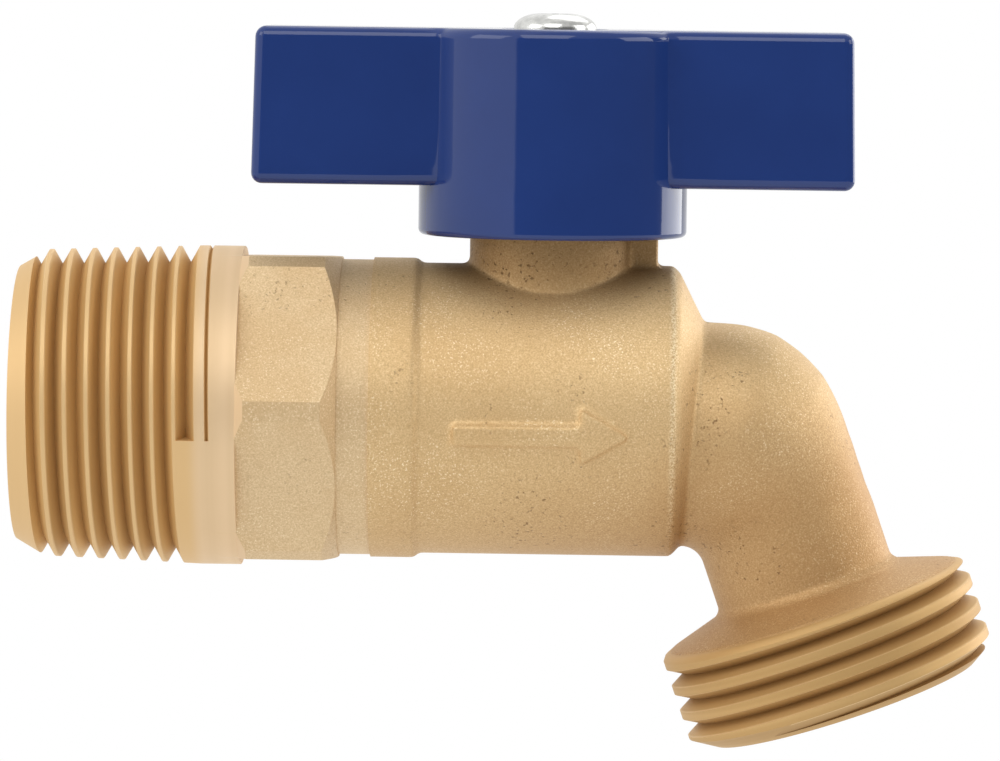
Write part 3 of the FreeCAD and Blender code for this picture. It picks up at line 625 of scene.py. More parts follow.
forged_brass = forged_brass_material(
    "shot-blasted brass", [(0.57, 0.38, 0.18, 1), (0.69, 0.48, 0.24, 1), (0.81, 0.61, 0.34, 1)],
    0.7, 0.8, True)
hexagon_brass = forged_brass_material(
    "shot-blasted hexagon", [(0.60, 0.43, 0.235, 1), (0.70, 0.515, 0.295, 1), (0.81, 0.63, 0.39, 1)],
    0.25, 0.45, False)
print("materials:", forged_brass.name, "and", hexagon_brass.name)

# %% [markdown]
# ## Brass as it is turned
#
# Where the lathe has cut, the metal is cleaner and pinker, and fine rings run round it. In the
# threads cutting oil has left a deeper golden brown, with painted shade in the roots and a painted
# highlight along the crests. The turned brass of the spout is a darker copy, as painted shade.
# Each axis of the fitting needs its rings round itself, so a Mapping node turns the coordinates.

# %% Material: turned brass
PIPE_CHAMFER = 2.4
PIPE_DEPTH = 1.3
HOSE_DEPTH = 1.3
THREAD_TIP_RADIUS = 13.0
COLLAR_RADIUS = 13.5
THREAD_END_X = 15.7
HOSE_RADIUS = hose_mount["dims"]["r_mm"]
crest_growth = (COLLAR_RADIUS - THREAD_TIP_RADIUS) / (THREAD_END_X - PIPE_CHAMFER)
pipe_tip_radius = THREAD_TIP_RADIUS - PIPE_CHAMFER * crest_growth

PINK = [(0.75, 0.55, 0.33, 1), (0.80, 0.59, 0.365, 1)]
GOLD = [(0.56, 0.34, 0.13, 1), (0.78, 0.52, 0.22, 1)]
# Darker tones for the turned brass of the spout, as painted shade.
SHADED_SPOUT_BROWN = [(0.47, 0.285, 0.105, 1), (0.60, 0.385, 0.16, 1)]
HANDLED_BROWN = (0.56, 0.35, 0.16, 1)
OILED_GOLD = (0.72, 0.48, 0.22, 1)
PAINTED_ROOT_SHADE = (0.32, 0.17, 0.055, 1)
PAINTED_CREST_HIGHLIGHT = (0.88, 0.67, 0.38, 1)


def turned_brass_material(name, place, tones, thread=None, painted_root_shade_share=0.0, oiled_end=None):
    """Brass with rings round one axis.

    A thread is given by its crest radius, growth and depth, and an oiled end by the places along
    the axis where its golden tone is full and where it is gone.
    """
    material, tree, shader = new_material(name)
    lathe = lathe_place(tree, place)
    marks = add_group(tree, tool_marks, Place=lathe)
    grain = add_group(tree, blasted_grain, Grain=5200.0, Pits=1400.0, Patches=160.0)
    top = colour_ramp(tree, marks["Tone"], *zip((0.35, 0.65), tones))
    top = tint(tree, grain["Patch"], top, HANDLED_BROWN, 0.15)
    if oiled_end:
        along = add_node(tree, "SeparateXYZ", Vector=lathe).outputs["X"]
        top = tint(tree, place_band(tree, along, *oiled_end), top, OILED_GOLD, 0.85)
    if thread:
        crest_radius, growth, depth = thread
        depths = add_group(
            tree, thread_depth, Place=lathe,
            Crest_radius=crest_radius * MM, Growth=growth, Depth=depth * MM)
        # Painted shade in the roots of the thread.
        top = tint(tree, depths["Root"], top, PAINTED_ROOT_SHADE, painted_root_shade_share)
        # Painted highlight along the crests.
        top = tint(tree, depths["Crest"], top, PAINTED_CREST_HIGHLIGHT, 0.5)
    rough = mapped(tree, marks["Tone"], 0.0, 1.0, 0.62, 0.46)
    surface(
        tree, shader, top, rough, marks["Height"], 0.25, 0.00004, Metallic=0.5,
        Specular_IOR_Level=0.3)
    return material


turned_body = turned_brass_material(
    "turned brass along the body", ALONG_BODY, PINK, oiled_end=(THREAD_END_X - 0.8, THREAD_END_X + 0.6))
turned_spout = turned_brass_material("turned brass down the spout", DOWN_SPOUT, SHADED_SPOUT_BROWN)
turned_stem = turned_brass_material("turned brass up the stem", UP_STEM, PINK)
thread_body = turned_brass_material(
    "thread brass along the body", ALONG_BODY, GOLD,
    thread=(pipe_tip_radius, crest_growth, PIPE_DEPTH), painted_root_shade_share=0.3)
thread_spout = turned_brass_material(
    "thread brass down the spout", DOWN_SPOUT, SHADED_SPOUT_BROWN,
    thread=(HOSE_RADIUS, 0.0, HOSE_DEPTH), painted_root_shade_share=0.5)
print("materials:", turned_body.name, "and four more")

# %% [markdown]
# ## Blue enamel
#
# The handle is dipped in a thick glossy enamel. The colour itself is a deep blue with hardly any
# variation, the gloss gives mirror-like reflections, and very slow noise in the bump makes those
# reflections waver a little, as poured paint does.

# %% Material: blue enamel
DEEP_BLUES = [(0.0110, 0.034, 0.160, 1), (0.0125, 0.038, 0.176, 1)]

blue_enamel, tree, shader = new_material("blue enamel")
place = object_place(tree)
flow = noise(tree, "flow of the paint", place, Scale=150.0, Detail=3.0)
dust = noise(tree, "dust", place, Scale=2600.0, Detail=2.0)
surface(
    tree, shader, colour_ramp(tree, flow, *zip((0.3, 0.7), DEEP_BLUES)),
    mapped(tree, dust, 0.0, 1.0, 0.03, 0.07), flow, 0.1, 0.0003)
print("material:", blue_enamel.name)

# %% [markdown]
# ## The small materials
#
# Zinc plate, polished chrome, waxy white seat plastic and black rubber are all quiet finishes. Each
# has its own fine noise in roughness and bump, so that none of them looks like a flat paint.

# %% Materials: zinc, chrome, plastic and rubber
def quiet_material(name, tones, roughness, metallic, scale, depth):
    """A plain finish whose colour and roughness vary a little over the surface."""
    material, tree, shader = new_material(name)
    fine = noise(tree, "fine", object_place(tree), Scale=scale, Detail=4.0, Roughness=0.6)
    surface(
        tree, shader, colour_ramp(tree, fine, *zip((0.35, 0.65), tones)),
        mapped(tree, fine, 0.0, 1.0, roughness * 0.8, roughness * 1.25), fine, 0.3, depth,
        Metallic=metallic)
    return material


zinc_plate = quiet_material(
    "bright zinc plate", [(0.58, 0.58, 0.56, 1), (0.80, 0.80, 0.77, 1)], 0.22, 1.0, 900, 0.00003)
chrome = quiet_material(
    "polished chrome", [(0.62, 0.64, 0.66, 1), (0.74, 0.76, 0.78, 1)], 0.06, 1.0, 600, 0.000005)
seat_plastic = quiet_material(
    "waxy white plastic", [(0.78, 0.77, 0.73, 1), (0.86, 0.85, 0.82, 1)], 0.42, 0.0, 700, 0.00002)
seal_rubber = quiet_material(
    "black rubber", [(0.012, 0.012, 0.012, 1), (0.03, 0.03, 0.03, 1)], 0.6, 0.0, 1500, 0.00003)
print("materials:", zinc_plate.name, chrome.name, seat_plastic.name, seal_rubber.name)

# %% [markdown]
# ## Screw threads
#
# A thread is cut, not built up. The tool's tip is a three-cornered shape of 60 degrees, and sweeping
# it round the axis while it moves on by one pitch per turn gives the cutter. Blender's Screw modifier
# does that sweep. The circle operator makes an equal-sided triangle when it is given three corners.

# %% Thread cutter
TOOL_OVER_CREST = 0.12
AXIS_UP_TO_ALONG = Matrix.Rotation(math.pi / 2, 4, "Y")
TIP_INWARDS = Matrix.Rotation(math.pi / 2, 4, "X") @ Matrix.Rotation(math.pi / 2, 4, "Z")


def thread_tool(name, pitch, turns, crest_radius, depth, start, phase, place, finish, taper=0.0):
    """A helical cutter whose tip reaches depth below the crest.

    It starts at a place along the axis and at an angle round it, and its radius grows by the taper
    for each millimetre along.
    """
    corner_radius = (depth + TOOL_OVER_CREST) / 1.5
    bpy.ops.mesh.primitive_circle_add(vertices=3, radius=corner_radius * MM, fill_type="NGON")
    tool = bpy.context.object
    tool.name = name
    settle(tool, Matrix.Translation(((crest_radius - depth + corner_radius) * MM, 0, 0)) @ TIP_INWARDS)
    length = pitch * turns
    steps = round(ROUND_SIDES * turns)
    modify(
        tool, "sweep", "SCREW", axis="Z", angle=math.tau * turns, screw_offset=length * MM,
        steps=steps, render_steps=steps)
    if taper:
        modify(
            tool, "taper", "SIMPLE_DEFORM", deform_method="TAPER", deform_axis="Z",
            factor=taper * length / crest_radius)
    with in_edit_mode(tool, "VERT", "SELECT"):
        bpy.ops.mesh.fill_holes(sides=3)
    face_outwards(tool)
    tool.data.materials.append(finish)
    turn = Matrix.Rotation(math.radians(phase), 4, "X")
    return settle(tool, place @ Matrix.Translation((start * MM, 0, 0)) @ turn @ AXIS_UP_TO_ALONG)


print("a thread cutter has", ROUND_SIDES, "steps in each turn")

# %% [markdown]
# ## The inlet connector
#
# This piece is forged with a hexagon for the spanner and then turned: a smooth collar, a tapered pipe
# thread with 14 turns to the inch, and the bores. The hexagon starts as a circle with six corners. A
# turned blank that is cut against it rounds the corners off, just as the forging die does.

# %% Inlet connector, forged part
HEX_HALF = 25.4 / 2
HEX_CORNER_RADIUS = 14.22
HEX_TURN = 2.0
HEX_START_X = 19.0
HEX_END_X = 27.3
HEX_REAR_BEVEL = 1.2
HEX_EDGE_ROUND = 0.22
NECK_RADIUS = 12.5
SPIGOT_RADIUS = 10.95
connector_end_x = box_mm("inlet_connector")[1].x

hexagon = turned("inlet_connector_brass", [
    (HEX_START_X - 2, HEX_HALF / math.cos(math.pi / 6)),
    (HEX_END_X, HEX_HALF / math.cos(math.pi / 6)),
], sides=6)
settle(hexagon, Matrix.Rotation(math.radians(-HEX_TURN), 4, "X"))
inlet_connector = machine(hexagon, turned("die", [
    (HEX_START_X - 3, HEX_CORNER_RADIUS),
    (HEX_END_X - HEX_REAR_BEVEL, HEX_CORNER_RADIUS),
    (HEX_END_X, HEX_HALF),
    (HEX_END_X + 1, HEX_HALF - 1),
]), "INTERSECT")
modify(
    inlet_connector, "soft edge", "BEVEL", width=HEX_EDGE_ROUND * MM, segments=4,
    limit_method="ANGLE", angle_limit=math.radians(20))
machine(inlet_connector, turned("neck", [
    (HEX_START_X + 1, SPIGOT_RADIUS), (HEX_START_X + 2, NECK_RADIUS), (seam_x + 1, NECK_RADIUS),
]), "UNION")
dress(inlet_connector, hexagon_brass)
print("hexagon and neck:", len(inlet_connector.data.polygons), "faces")

# %% [markdown]
# The forging is then machined. The lathe tool that turns the collar also touches the front of the
# hexagon, so the smooth collar runs out onto its corners and leaves a thin step against the flats.
# The end towards the body is faced off square, which gives the fine dark seam between the two.

# %% Inlet connector, machined
PIPE_FACE_RADIUS = 11.6
FRONT_CUT_REACH = 6.5
SPIGOT_CHAMFER = 0.6
WELD_OVERLAP = 0.05

machine(inlet_connector, turned("front_facing", [
    (HEX_START_X - 4, TOOL_RADIUS),
    (HEX_START_X + FRONT_CUT_REACH, TOOL_RADIUS),
    (HEX_START_X, COLLAR_RADIUS),
], finish=turned_body))
machine(inlet_connector, facing("end_facing", seam_x, seam_x + 4, finish=turned_body))
machine(inlet_connector, turned("threaded_end", [
    (0, PIPE_FACE_RADIUS),
    (PIPE_CHAMFER, THREAD_TIP_RADIUS),
    (THREAD_END_X, COLLAR_RADIUS),
    (HEX_START_X, COLLAR_RADIUS),
    (HEX_START_X + WELD_OVERLAP, COLLAR_RADIUS - WELD_OVERLAP),
    (HEX_START_X + WELD_OVERLAP, SPIGOT_RADIUS),
    (connector_end_x - SPIGOT_CHAMFER, SPIGOT_RADIUS),
    (connector_end_x, SPIGOT_RADIUS - SPIGOT_CHAMFER),
], finish=turned_body), "UNION")
print("connector:", len(inlet_connector.data.polygons), "faces")

# %% [markdown]
# Pipe thread is cut on a cone of one in sixteen. The die stops on the side that faces the viewer, so
# the last groove ends there, and a shallow one beside it was left by the die's first tooth.

# %% Inlet connector, thread and bores
PIPE_PITCH = 25.4 / 14
PIPE_TURNS = 7.6
PIPE_STOP_X = 14.92
PIPE_STOP_ANGLE = 279
SCRATCH_TURNS = 0.6
SCRATCH_DEPTH = 0.3
PORT_RADIUS = 5.5
WIDE_BORE_RADIUS = 9.0
BORE_CHAMFER = 0.4
INLET_BORE_END_X = 21.0
INLET_FUNNEL_END_X = 26.0

pipe_start_x = PIPE_STOP_X - PIPE_TURNS * PIPE_PITCH
machine(inlet_connector, thread_tool(
    "pipe_thread", PIPE_PITCH, PIPE_TURNS, pipe_tip_radius + pipe_start_x * crest_growth,
    PIPE_DEPTH, pipe_start_x, PIPE_STOP_ANGLE - 360 * PIPE_TURNS, ALONG_BODY, thread_body,
    taper=crest_growth))
machine(inlet_connector, thread_tool(
    "scratch", PIPE_PITCH, SCRATCH_TURNS, COLLAR_RADIUS, SCRATCH_DEPTH,
    PIPE_STOP_X + (1 - SCRATCH_TURNS) * PIPE_PITCH, PIPE_STOP_ANGLE - 360 * SCRATCH_TURNS,
    ALONG_BODY, thread_body))
machine(inlet_connector, turned("connector_bore", [
    (-2, WIDE_BORE_RADIUS + BORE_CHAMFER),
    (0, WIDE_BORE_RADIUS + BORE_CHAMFER),
    (BORE_CHAMFER, WIDE_BORE_RADIUS),
    (INLET_BORE_END_X, WIDE_BORE_RADIUS),
    (INLET_FUNNEL_END_X, PORT_RADIUS),
    (connector_end_x + 2, PORT_RADIUS),
], finish=turned_body))
print("connector with thread and bores:", len(inlet_connector.data.polygons), "faces")

# %% [markdown]
# ## The valve body
#
# One forging holds the barrel, the round boss for the stem, the stop lug and the bent spout. The
# elbow starts as a circle at the barrel's end that is extruded in small steps, each one turned about
# the inside of the bend and scaled, so that it draws down from the barrel to the neck.

# %% Valve body, elbow
ELBOW_PIVOT = Vector((stem_x + 11.2, 0, -13.5))
ELBOW_INNER_RADIUS = 2.1
ELBOW_ROOT_RADIUS = 9.5
NECK_END_RADIUS = 7.65
ELBOW_STEPS = 36
ELBOW_SIDES = 96
ELBOW_NARROWING = [
    (0.0, 0.0), (0.1, -0.03), (0.2, -0.11), (0.3, -0.13), (0.4, -0.01),
    (0.5, 0.16), (0.6, 0.43), (0.7, 0.7), (0.8, 0.89), (0.9, 1.0), (1.0, 1.0),
]


def elbow_radius(share):
    """Radius of the elbow at a share of its bend, between the stations of its narrowing."""
    for (before, low), (after, high) in zip(ELBOW_NARROWING, ELBOW_NARROWING[1:]):
        if share <= after:
            part = (share - before) / (after - before)
            narrowing = low + (high - low) * part
            return ELBOW_ROOT_RADIUS - narrowing * (ELBOW_ROOT_RADIUS - NECK_END_RADIUS)


bend = math.pi / 2 - spout_tilt
radius = elbow_radius(0.0)
elbow_start = ELBOW_PIVOT + Vector((0, 0, ELBOW_INNER_RADIUS + radius))
elbow = turned(
    "elbow", [(-6, radius), (0, radius)], Matrix.Translation(elbow_start * MM), sides=ELBOW_SIDES)
pick(elbow, "polygons", lambda face: face.normal.x > 0.9)
with in_edit_mode(elbow):
    for step in range(1, ELBOW_STEPS + 1):
        share = step / ELBOW_STEPS
        bpy.ops.mesh.extrude_region_move(TRANSFORM_OT_translate={"value": (0, 0, 0)})
        bpy.ops.transform.rotate(
            value=-bend / ELBOW_STEPS, orient_axis="Y", center_override=ELBOW_PIVOT * MM)
        inside = ELBOW_PIVOT + ELBOW_INNER_RADIUS * Vector(
            (math.sin(share * bend), 0, math.cos(share * bend)))
        growth = elbow_radius(share) / radius
        bpy.ops.transform.resize(value=(growth,) * 3, center_override=inside * MM)
        radius = elbow_radius(share)
face_outwards(elbow)
neck_end = ELBOW_PIVOT + (ELBOW_INNER_RADIUS + NECK_END_RADIUS) * Vector(
    (math.cos(spout_tilt), 0, math.sin(spout_tilt)))
print("elbow ends at", [round(value, 2) for value in neck_end])

# %% [markdown]
# The barrel, the boss, the neck with its flared bell and the stop lug are joined to the elbow, and
# the whole is remeshed as one forging. A raised arrow on the barrel shows which way the water runs.
# It is a three-cornered prism and a bar, cut to the height of the relief by a turned shape a little
# larger than the barrel, so its face follows the barrel's curve.

# %% Valve body, forging
BARREL_RADIUS = 12.3
BODY_COLLAR_RADIUS = 12.7
BODY_COLLAR_LENGTH = 3.8
END_CONE_LENGTH = 1.9
END_CONE_RADIUS = 7.9
BOSS_RADIUS = 6.95
LUG_REACH = 8.95
LUG_WIDTH = 4.4
LUG_TOP = 18.4
RIM_EDGE_RISE = 0.6
RIM_EDGE_INSET = 0.7
FLARE_RISE = 1.6
OUTLET_CHAMFER = 1.2
OUTLET_CHAMFER_DEPTH = 1.9
boss_top = box_mm("valve_body")[1].z
thread_length = hose_mount["dims"]["length_mm"]
thread_start = -thread_length / 2
neck_start = (neck_end * MM - outlet_place).dot(outlet_axis) / MM
rim_start = thread_start - RIM_EDGE_RISE
outlet_face = thread_length / 2 + OUTLET_CHAMFER

collar_end = seam_x + BODY_COLLAR_LENGTH
barrel_end = stem_x + BARREL_LENGTH
barrel = turned("barrel", [
    (seam_x - 1, BODY_COLLAR_RADIUS),
    (collar_end, BODY_COLLAR_RADIUS),
    (collar_end, BARREL_RADIUS),
    (barrel_end - RIM_BEFORE_END, BARREL_RADIUS),
    (barrel_end, BARREL_RADIUS - RIM_BEFORE_END),
    (barrel_end + END_CONE_LENGTH, END_CONE_RADIUS),
])
boss = facing("boss", 0, boss_top + 1, BOSS_RADIUS, UP_STEM)
bell = turned("bell", [
    (neck_start - 0.4, NECK_END_RADIUS),
    (rim_start - FLARE_RISE - 0.5, NECK_END_RADIUS),
    (rim_start - FLARE_RISE + 0.1, NECK_END_RADIUS + 0.5),
    (rim_start, HOSE_RADIUS - RIM_EDGE_INSET),
    (rim_start + 0.5, HOSE_RADIUS - RIM_EDGE_INSET),
    (rim_start + 1.5, HOSE_RADIUS - 4),
], DOWN_SPOUT)
lug = block("lug", (0, -LUG_WIDTH / 2, 0), (LUG_REACH, LUG_WIDTH / 2, LUG_TOP))

ARROW_X = 49.0
ARROW_Z = -1.4
ARROW_HEAD_RADIUS = 2.7
ARROW_SHAFT_LENGTH = 12.0
ARROW_SHAFT_HALF = 0.85
ARROW_RELIEF = 0.55
arrow_tip = Matrix.Translation(Vector((ARROW_X, 0, ARROW_Z)) * MM)
towards_viewer = Matrix.Rotation(-math.pi / 2, 4, "Z")
arrow = turned(
    "flow_arrow", [(8, ARROW_HEAD_RADIUS), (15, ARROW_HEAD_RADIUS)], arrow_tip @ towards_viewer, sides=3)
machine(arrow, block(
    "shaft", (ARROW_X - ARROW_SHAFT_LENGTH - stem_x, -15, ARROW_Z - ARROW_SHAFT_HALF),
    (ARROW_X - stem_x, -8, ARROW_Z + ARROW_SHAFT_HALF)), "UNION")
machine(arrow, facing("relief", seam_x, barrel_end, BARREL_RADIUS + ARROW_RELIEF), "INTERSECT")
valve_body = forged("valve_body_brass", [barrel, boss, bell, lug, elbow, arrow], 4, forged_brass)

# %% [markdown]
# Machining the body: its end is faced off, the rim and the blank of the hose thread are turned, the
# thread is cut with its own pitch of eleven and a half turns to the inch, and then the chambers for
# the ball and the stem are bored. The groove starts under the rim, which is why the rim looks thick
# on one side of the spout and thin on the other.

# %% Valve body, machined
HOSE_PITCH = 25.4 / 11.5
HOSE_GROOVE_AT_LEFT = -2.0
HOSE_START_ANGLE = 135
HOSE_TURNS = 4.25

machine(valve_body, facing("body_facing", seam_x - 4, seam_x, finish=turned_body))
machine(valve_body, facing("boss_facing", boss_top, boss_top + 4, 12.0, UP_STEM, turned_stem))
machine(valve_body, turned("hose_blank", [
    (rim_start + WELD_OVERLAP, HOSE_RADIUS - 5),
    (rim_start + WELD_OVERLAP, HOSE_RADIUS - RIM_EDGE_INSET),
    (rim_start + 0.25, HOSE_RADIUS - 0.25),
    (thread_start, HOSE_RADIUS),
    (thread_length / 2, HOSE_RADIUS),
    (outlet_face, HOSE_RADIUS - OUTLET_CHAMFER_DEPTH),
], DOWN_SPOUT, finish=turned_spout), "UNION")
hose_start = HOSE_GROOVE_AT_LEFT + HOSE_PITCH * (HOSE_START_ANGLE - 360) / 360
machine(valve_body, thread_tool(
    "hose_thread", HOSE_PITCH, HOSE_TURNS, HOSE_RADIUS, HOSE_DEPTH,
    hose_start, HOSE_START_ANGLE, DOWN_SPOUT, thread_spout))
print("body with thread:", len(valve_body.data.polygons), "faces")

# %% [markdown]
# The body is bored from three sides. The chamber for the ball opens towards the seam, the waterway
# goes on into the elbow and meets the drilling that comes up the spout, and the stem's pocket goes
# up through the boss, with a step that the stem's collar can't pass.

# %% Valve body, bores
CHAMBER_RADIUS = 10.0
SPIGOT_CLEARANCE = 0.05
SEAT_BACK = 8.7
STEM_WAY_RADIUS = 4.55
STEM_POCKET_RADIUS = 5.7
STEM_POCKET_TOP = 12.4
OUTLET_BORE_DEPTH = 9.0
SPOUT_BORE_RADIUS = 5.8

machine(valve_body, turned("ball_chamber", [
    (seam_x - 2, SPIGOT_RADIUS + SPIGOT_CLEARANCE),
    (stem_x - SEAT_BACK + 0.1, SPIGOT_RADIUS + SPIGOT_CLEARANCE),
    (stem_x - SEAT_BACK + 0.1, CHAMBER_RADIUS),
    (stem_x + SEAT_BACK, CHAMBER_RADIUS),
    (stem_x + SEAT_BACK, PORT_RADIUS),
    (neck_end.x + neck_end.z * math.tan(spout_tilt), PORT_RADIUS),
], finish=turned_body))
counterbore = outlet_face - OUTLET_BORE_DEPTH
machine(valve_body, turned("outlet_bore", [
    (neck_start + neck_end.z / math.cos(spout_tilt), SPOUT_BORE_RADIUS),
    (counterbore - 1.6, SPOUT_BORE_RADIUS),
    (counterbore, WIDE_BORE_RADIUS),
    (outlet_face - BORE_CHAMFER, WIDE_BORE_RADIUS),
    (outlet_face, WIDE_BORE_RADIUS + BORE_CHAMFER),
    (outlet_face + 2, WIDE_BORE_RADIUS + BORE_CHAMFER),
], DOWN_SPOUT, finish=turned_spout))
machine(valve_body, turned("stem_way", [
    (0, STEM_POCKET_RADIUS),
    (STEM_POCKET_TOP, STEM_POCKET_RADIUS),
    (STEM_POCKET_TOP, STEM_WAY_RADIUS),
    (boss_top - 0.3, STEM_WAY_RADIUS),
    (boss_top + 2, STEM_WAY_RADIUS + 2.3),
], UP_STEM, finish=turned_stem))
print("body bored:", len(valve_body.data.polygons), "faces")

# %% [markdown]
# ## The handle
#
# The tee handle is die-cast: two flat arms with a little draft towards the top, and a round hub. The
# arms are a box, scaled in along its length at the top, and the hub is turned. After they are joined,
# the upright corners between them are picked by their place and rounded first, then the edges all
# round the top and the bottom, which is the order that keeps every round whole. Where a rounded
# corner runs into the hub, a very short edge is left over. It is merged away first, as a round on
# it would leave a small spike.

# %% Handle, arms and hub
ARM_BOTTOM = 19.0
ARM_HALF = 6.0
ARM_DRAFT = 0.3
CORNER_ROUND = 1.2
EDGE_ROUND = 0.9
HUB_EDGE_ROUND = 0.5
SHORTEST_EDGE = 0.06
HUB_SIDES = 192
HAIR = 0.01
hub_radius = handle_high.y
arm_span = handle_high.x - handle_low.x
inner_reach = math.sqrt(hub_radius ** 2 - ARM_HALF ** 2)


def upright(first, second):
    """An edge that stands upright, or nearly so because of the draft."""
    along, across, rise = (abs(value) for value in first - second)
    return along < 0.4 and across < HAIR and rise > 1


def inner_corner(first, second):
    """An upright edge where an arm runs into the hub."""
    return (
        upright(first, second) and abs(abs(first.x) - inner_reach) < 0.3
        and abs(abs(first.y) - ARM_HALF) < 0.1 and min(first.z, second.z) > ARM_BOTTOM - 0.1)


def level_at(height):
    """A test for edges that lie at one height."""
    return lambda first, second: max(abs(first.z - height), abs(second.z - height)) < HAIR


handle = block(
    "handle_enamelled", (-arm_span / 2, -ARM_HALF, ARM_BOTTOM), (arm_span / 2, ARM_HALF, handle_high.z + 1))
pick(handle, "vertices", lambda vertex: vertex.co.z > ARM_BOTTOM * MM * 1.01)
with in_edit_mode(handle, "VERT"):
    bpy.ops.transform.resize(
        value=(1 - 2 * ARM_DRAFT / arm_span, 1, 1), center_override=(stem_x * MM, 0, handle_high.z * MM))
round_edges(handle, upright, EDGE_ROUND, 6)
round_edges(handle, level_at(ARM_BOTTOM), EDGE_ROUND, 6)
machine(handle, turned(
    "hub", [(handle_low.z, hub_radius), (handle_high.z + 2, hub_radius)], UP_STEM, HUB_SIDES), "UNION")
machine(handle, facing("top_facing", handle_high.z, handle_high.z + 4, arm_span, UP_STEM))
round_edges(handle, inner_corner, CORNER_ROUND, 8)
with in_edit_mode(handle, "VERT", "SELECT"):
    bpy.ops.mesh.remove_doubles(threshold=SHORTEST_EDGE * MM)
face_outwards(handle)
round_edges(handle, level_at(handle_high.z), EDGE_ROUND, 6)
round_edges(handle, level_at(handle_low.z), HUB_EDGE_ROUND, 4)
print("handle:", len(handle.data.polygons), "faces")

# %% [markdown]
# Underneath, the hub is hollow: a round mouth drops over the boss, a curved slot lets the stop lug
# run a quarter turn, a square socket takes the stem, and each arm is cored so that the casting has
# even walls. The slot's cutter is a small plate that is spun about the stem. The handle's skin is
# first divided along and across through the stem axis: a flat face with a hole in its middle can't
# be shaded well, and four faces that meet at the hole can.

# %% Handle, hollows
MOUTH_RADIUS = 7.5
MOUTH_CHAMFER = 0.4
DRIVE_BOTTOM = 22.3
SOCKET_HALF = 3.19
SOCKET_TOP = 29.6
SCREW_HOLE_RADIUS = 2.1
RECESS_RADIUS = 4.3
RECESS_CHAMFER = 0.3
RECESS_DEPTH = 1.2
ARM_WALL = 2.2
CORE_ROUND = 0.8
SLOT_INNER = 4.5
SLOT_REACH = 9.5
SLOT_TOP = 19.0
SLOT_SIDE = math.degrees(math.asin(2.32 / 7.1))
SLOT_STEPS = 48


def swept_slot(name, inner, outer, low, high, start, angle):
    """A curved block: an upright plate between two radii, swept round the stem."""
    bpy.ops.mesh.primitive_plane_add(size=1)
    tool = bpy.context.object
    tool.name = name
    tool.scale = ((outer - inner) * MM, (high - low) * MM, 1)
    tool.rotation_euler = (math.pi / 2, 0, 0)
    settle(tool, Matrix.Translation(Vector(((inner + outer) / 2, 0, (low + high) / 2)) * MM))
    modify(
        tool, "sweep", "SCREW", angle=math.radians(angle), steps=SLOT_STEPS, render_steps=SLOT_STEPS)
    with in_edit_mode(tool, "VERT", "SELECT"):
        bpy.ops.mesh.fill_holes(sides=4)
    face_outwards(tool)
    return settle(tool, AT_STEM @ Matrix.Rotation(math.radians(start), 4, "Z"))


for cut_across in ((1, 0, 0), (0, 1, 0)):
    with in_edit_mode(handle, first="SELECT"):
        bpy.ops.mesh.bisect(plane_co=(stem_x * MM, 0, 0), plane_no=cut_across)
machine(handle, turned("mouth", [
    (handle_low.z - 2, MOUTH_RADIUS + MOUTH_CHAMFER),
    (handle_low.z, MOUTH_RADIUS + MOUTH_CHAMFER),
    (handle_low.z + MOUTH_CHAMFER, MOUTH_RADIUS),
    (DRIVE_BOTTOM, MOUTH_RADIUS),
], UP_STEM))
machine(handle, swept_slot(
    "slot", SLOT_INNER, SLOT_REACH, handle_low.z - 1, SLOT_TOP, -SLOT_SIDE, 90 + 2 * SLOT_SIDE))
machine(handle, block(
    "socket", (-SOCKET_HALF, -SOCKET_HALF, DRIVE_BOTTOM - 1), (SOCKET_HALF, SOCKET_HALF, SOCKET_TOP)))
machine(handle, facing("screw_hole", SOCKET_TOP - 1, handle_high.z + 1, SCREW_HOLE_RADIUS, UP_STEM))
machine(handle, turned("recess", [
    (handle_high.z - RECESS_DEPTH, RECESS_RADIUS),
    (handle_high.z - RECESS_CHAMFER, RECESS_RADIUS),
    (handle_high.z, RECESS_RADIUS + RECESS_CHAMFER),
    (handle_high.z + 1, RECESS_RADIUS + RECESS_CHAMFER),
], UP_STEM))
core_ends = (hub_radius + ARM_WALL / 2, arm_span / 2 - ARM_WALL)
core_half = ARM_HALF - ARM_WALL
core_top = handle_high.z - ARM_WALL
for left, right in ((-core_ends[1], -core_ends[0]), core_ends):
    machine(handle, block(
        "core", (left, -core_half, ARM_BOTTOM - 3), (right, core_half, core_top), CORE_ROUND))
dress(handle, blue_enamel)
print("handle hollowed:", len(handle.data.polygons), "faces")

# %% [markdown]
# ## Screw and lock washer
#
# A pan-head screw with a cross recess holds the handle on the stem. The head's profile is a quarter
# of an ellipse, and the recess is cut by two crossing blocks. The split washer under it is a turned
# ring with a saw cut.

# %% Screw and washer
SMALL_SIDES = 96
SCREW_RADIUS = 2.0
SCREW_POINT = 0.4
HEAD_RADIUS = 3.5
HEAD_RIM = 0.65
HEAD_EDGE = 0.15
CROWN_RADIUS = 1.2
CROSS_SIZES = (0.57, 2.58)
CROSS_DEPTH = 1.15
SCREW_PITCH = 0.7
SCREW_TURNS = 9
SCREW_THREAD_DEPTH = 0.4
WASHER_EDGE = 0.1
SAW_HALF = 0.25
SAW_ANGLE = math.radians(25)
screw_low, screw_high = box_mm("handle_screw")
washer_low, washer_high = box_mm("lock_washer")
head_base = washer_high.z
dome_height = screw_high.z - head_base - HEAD_RIM

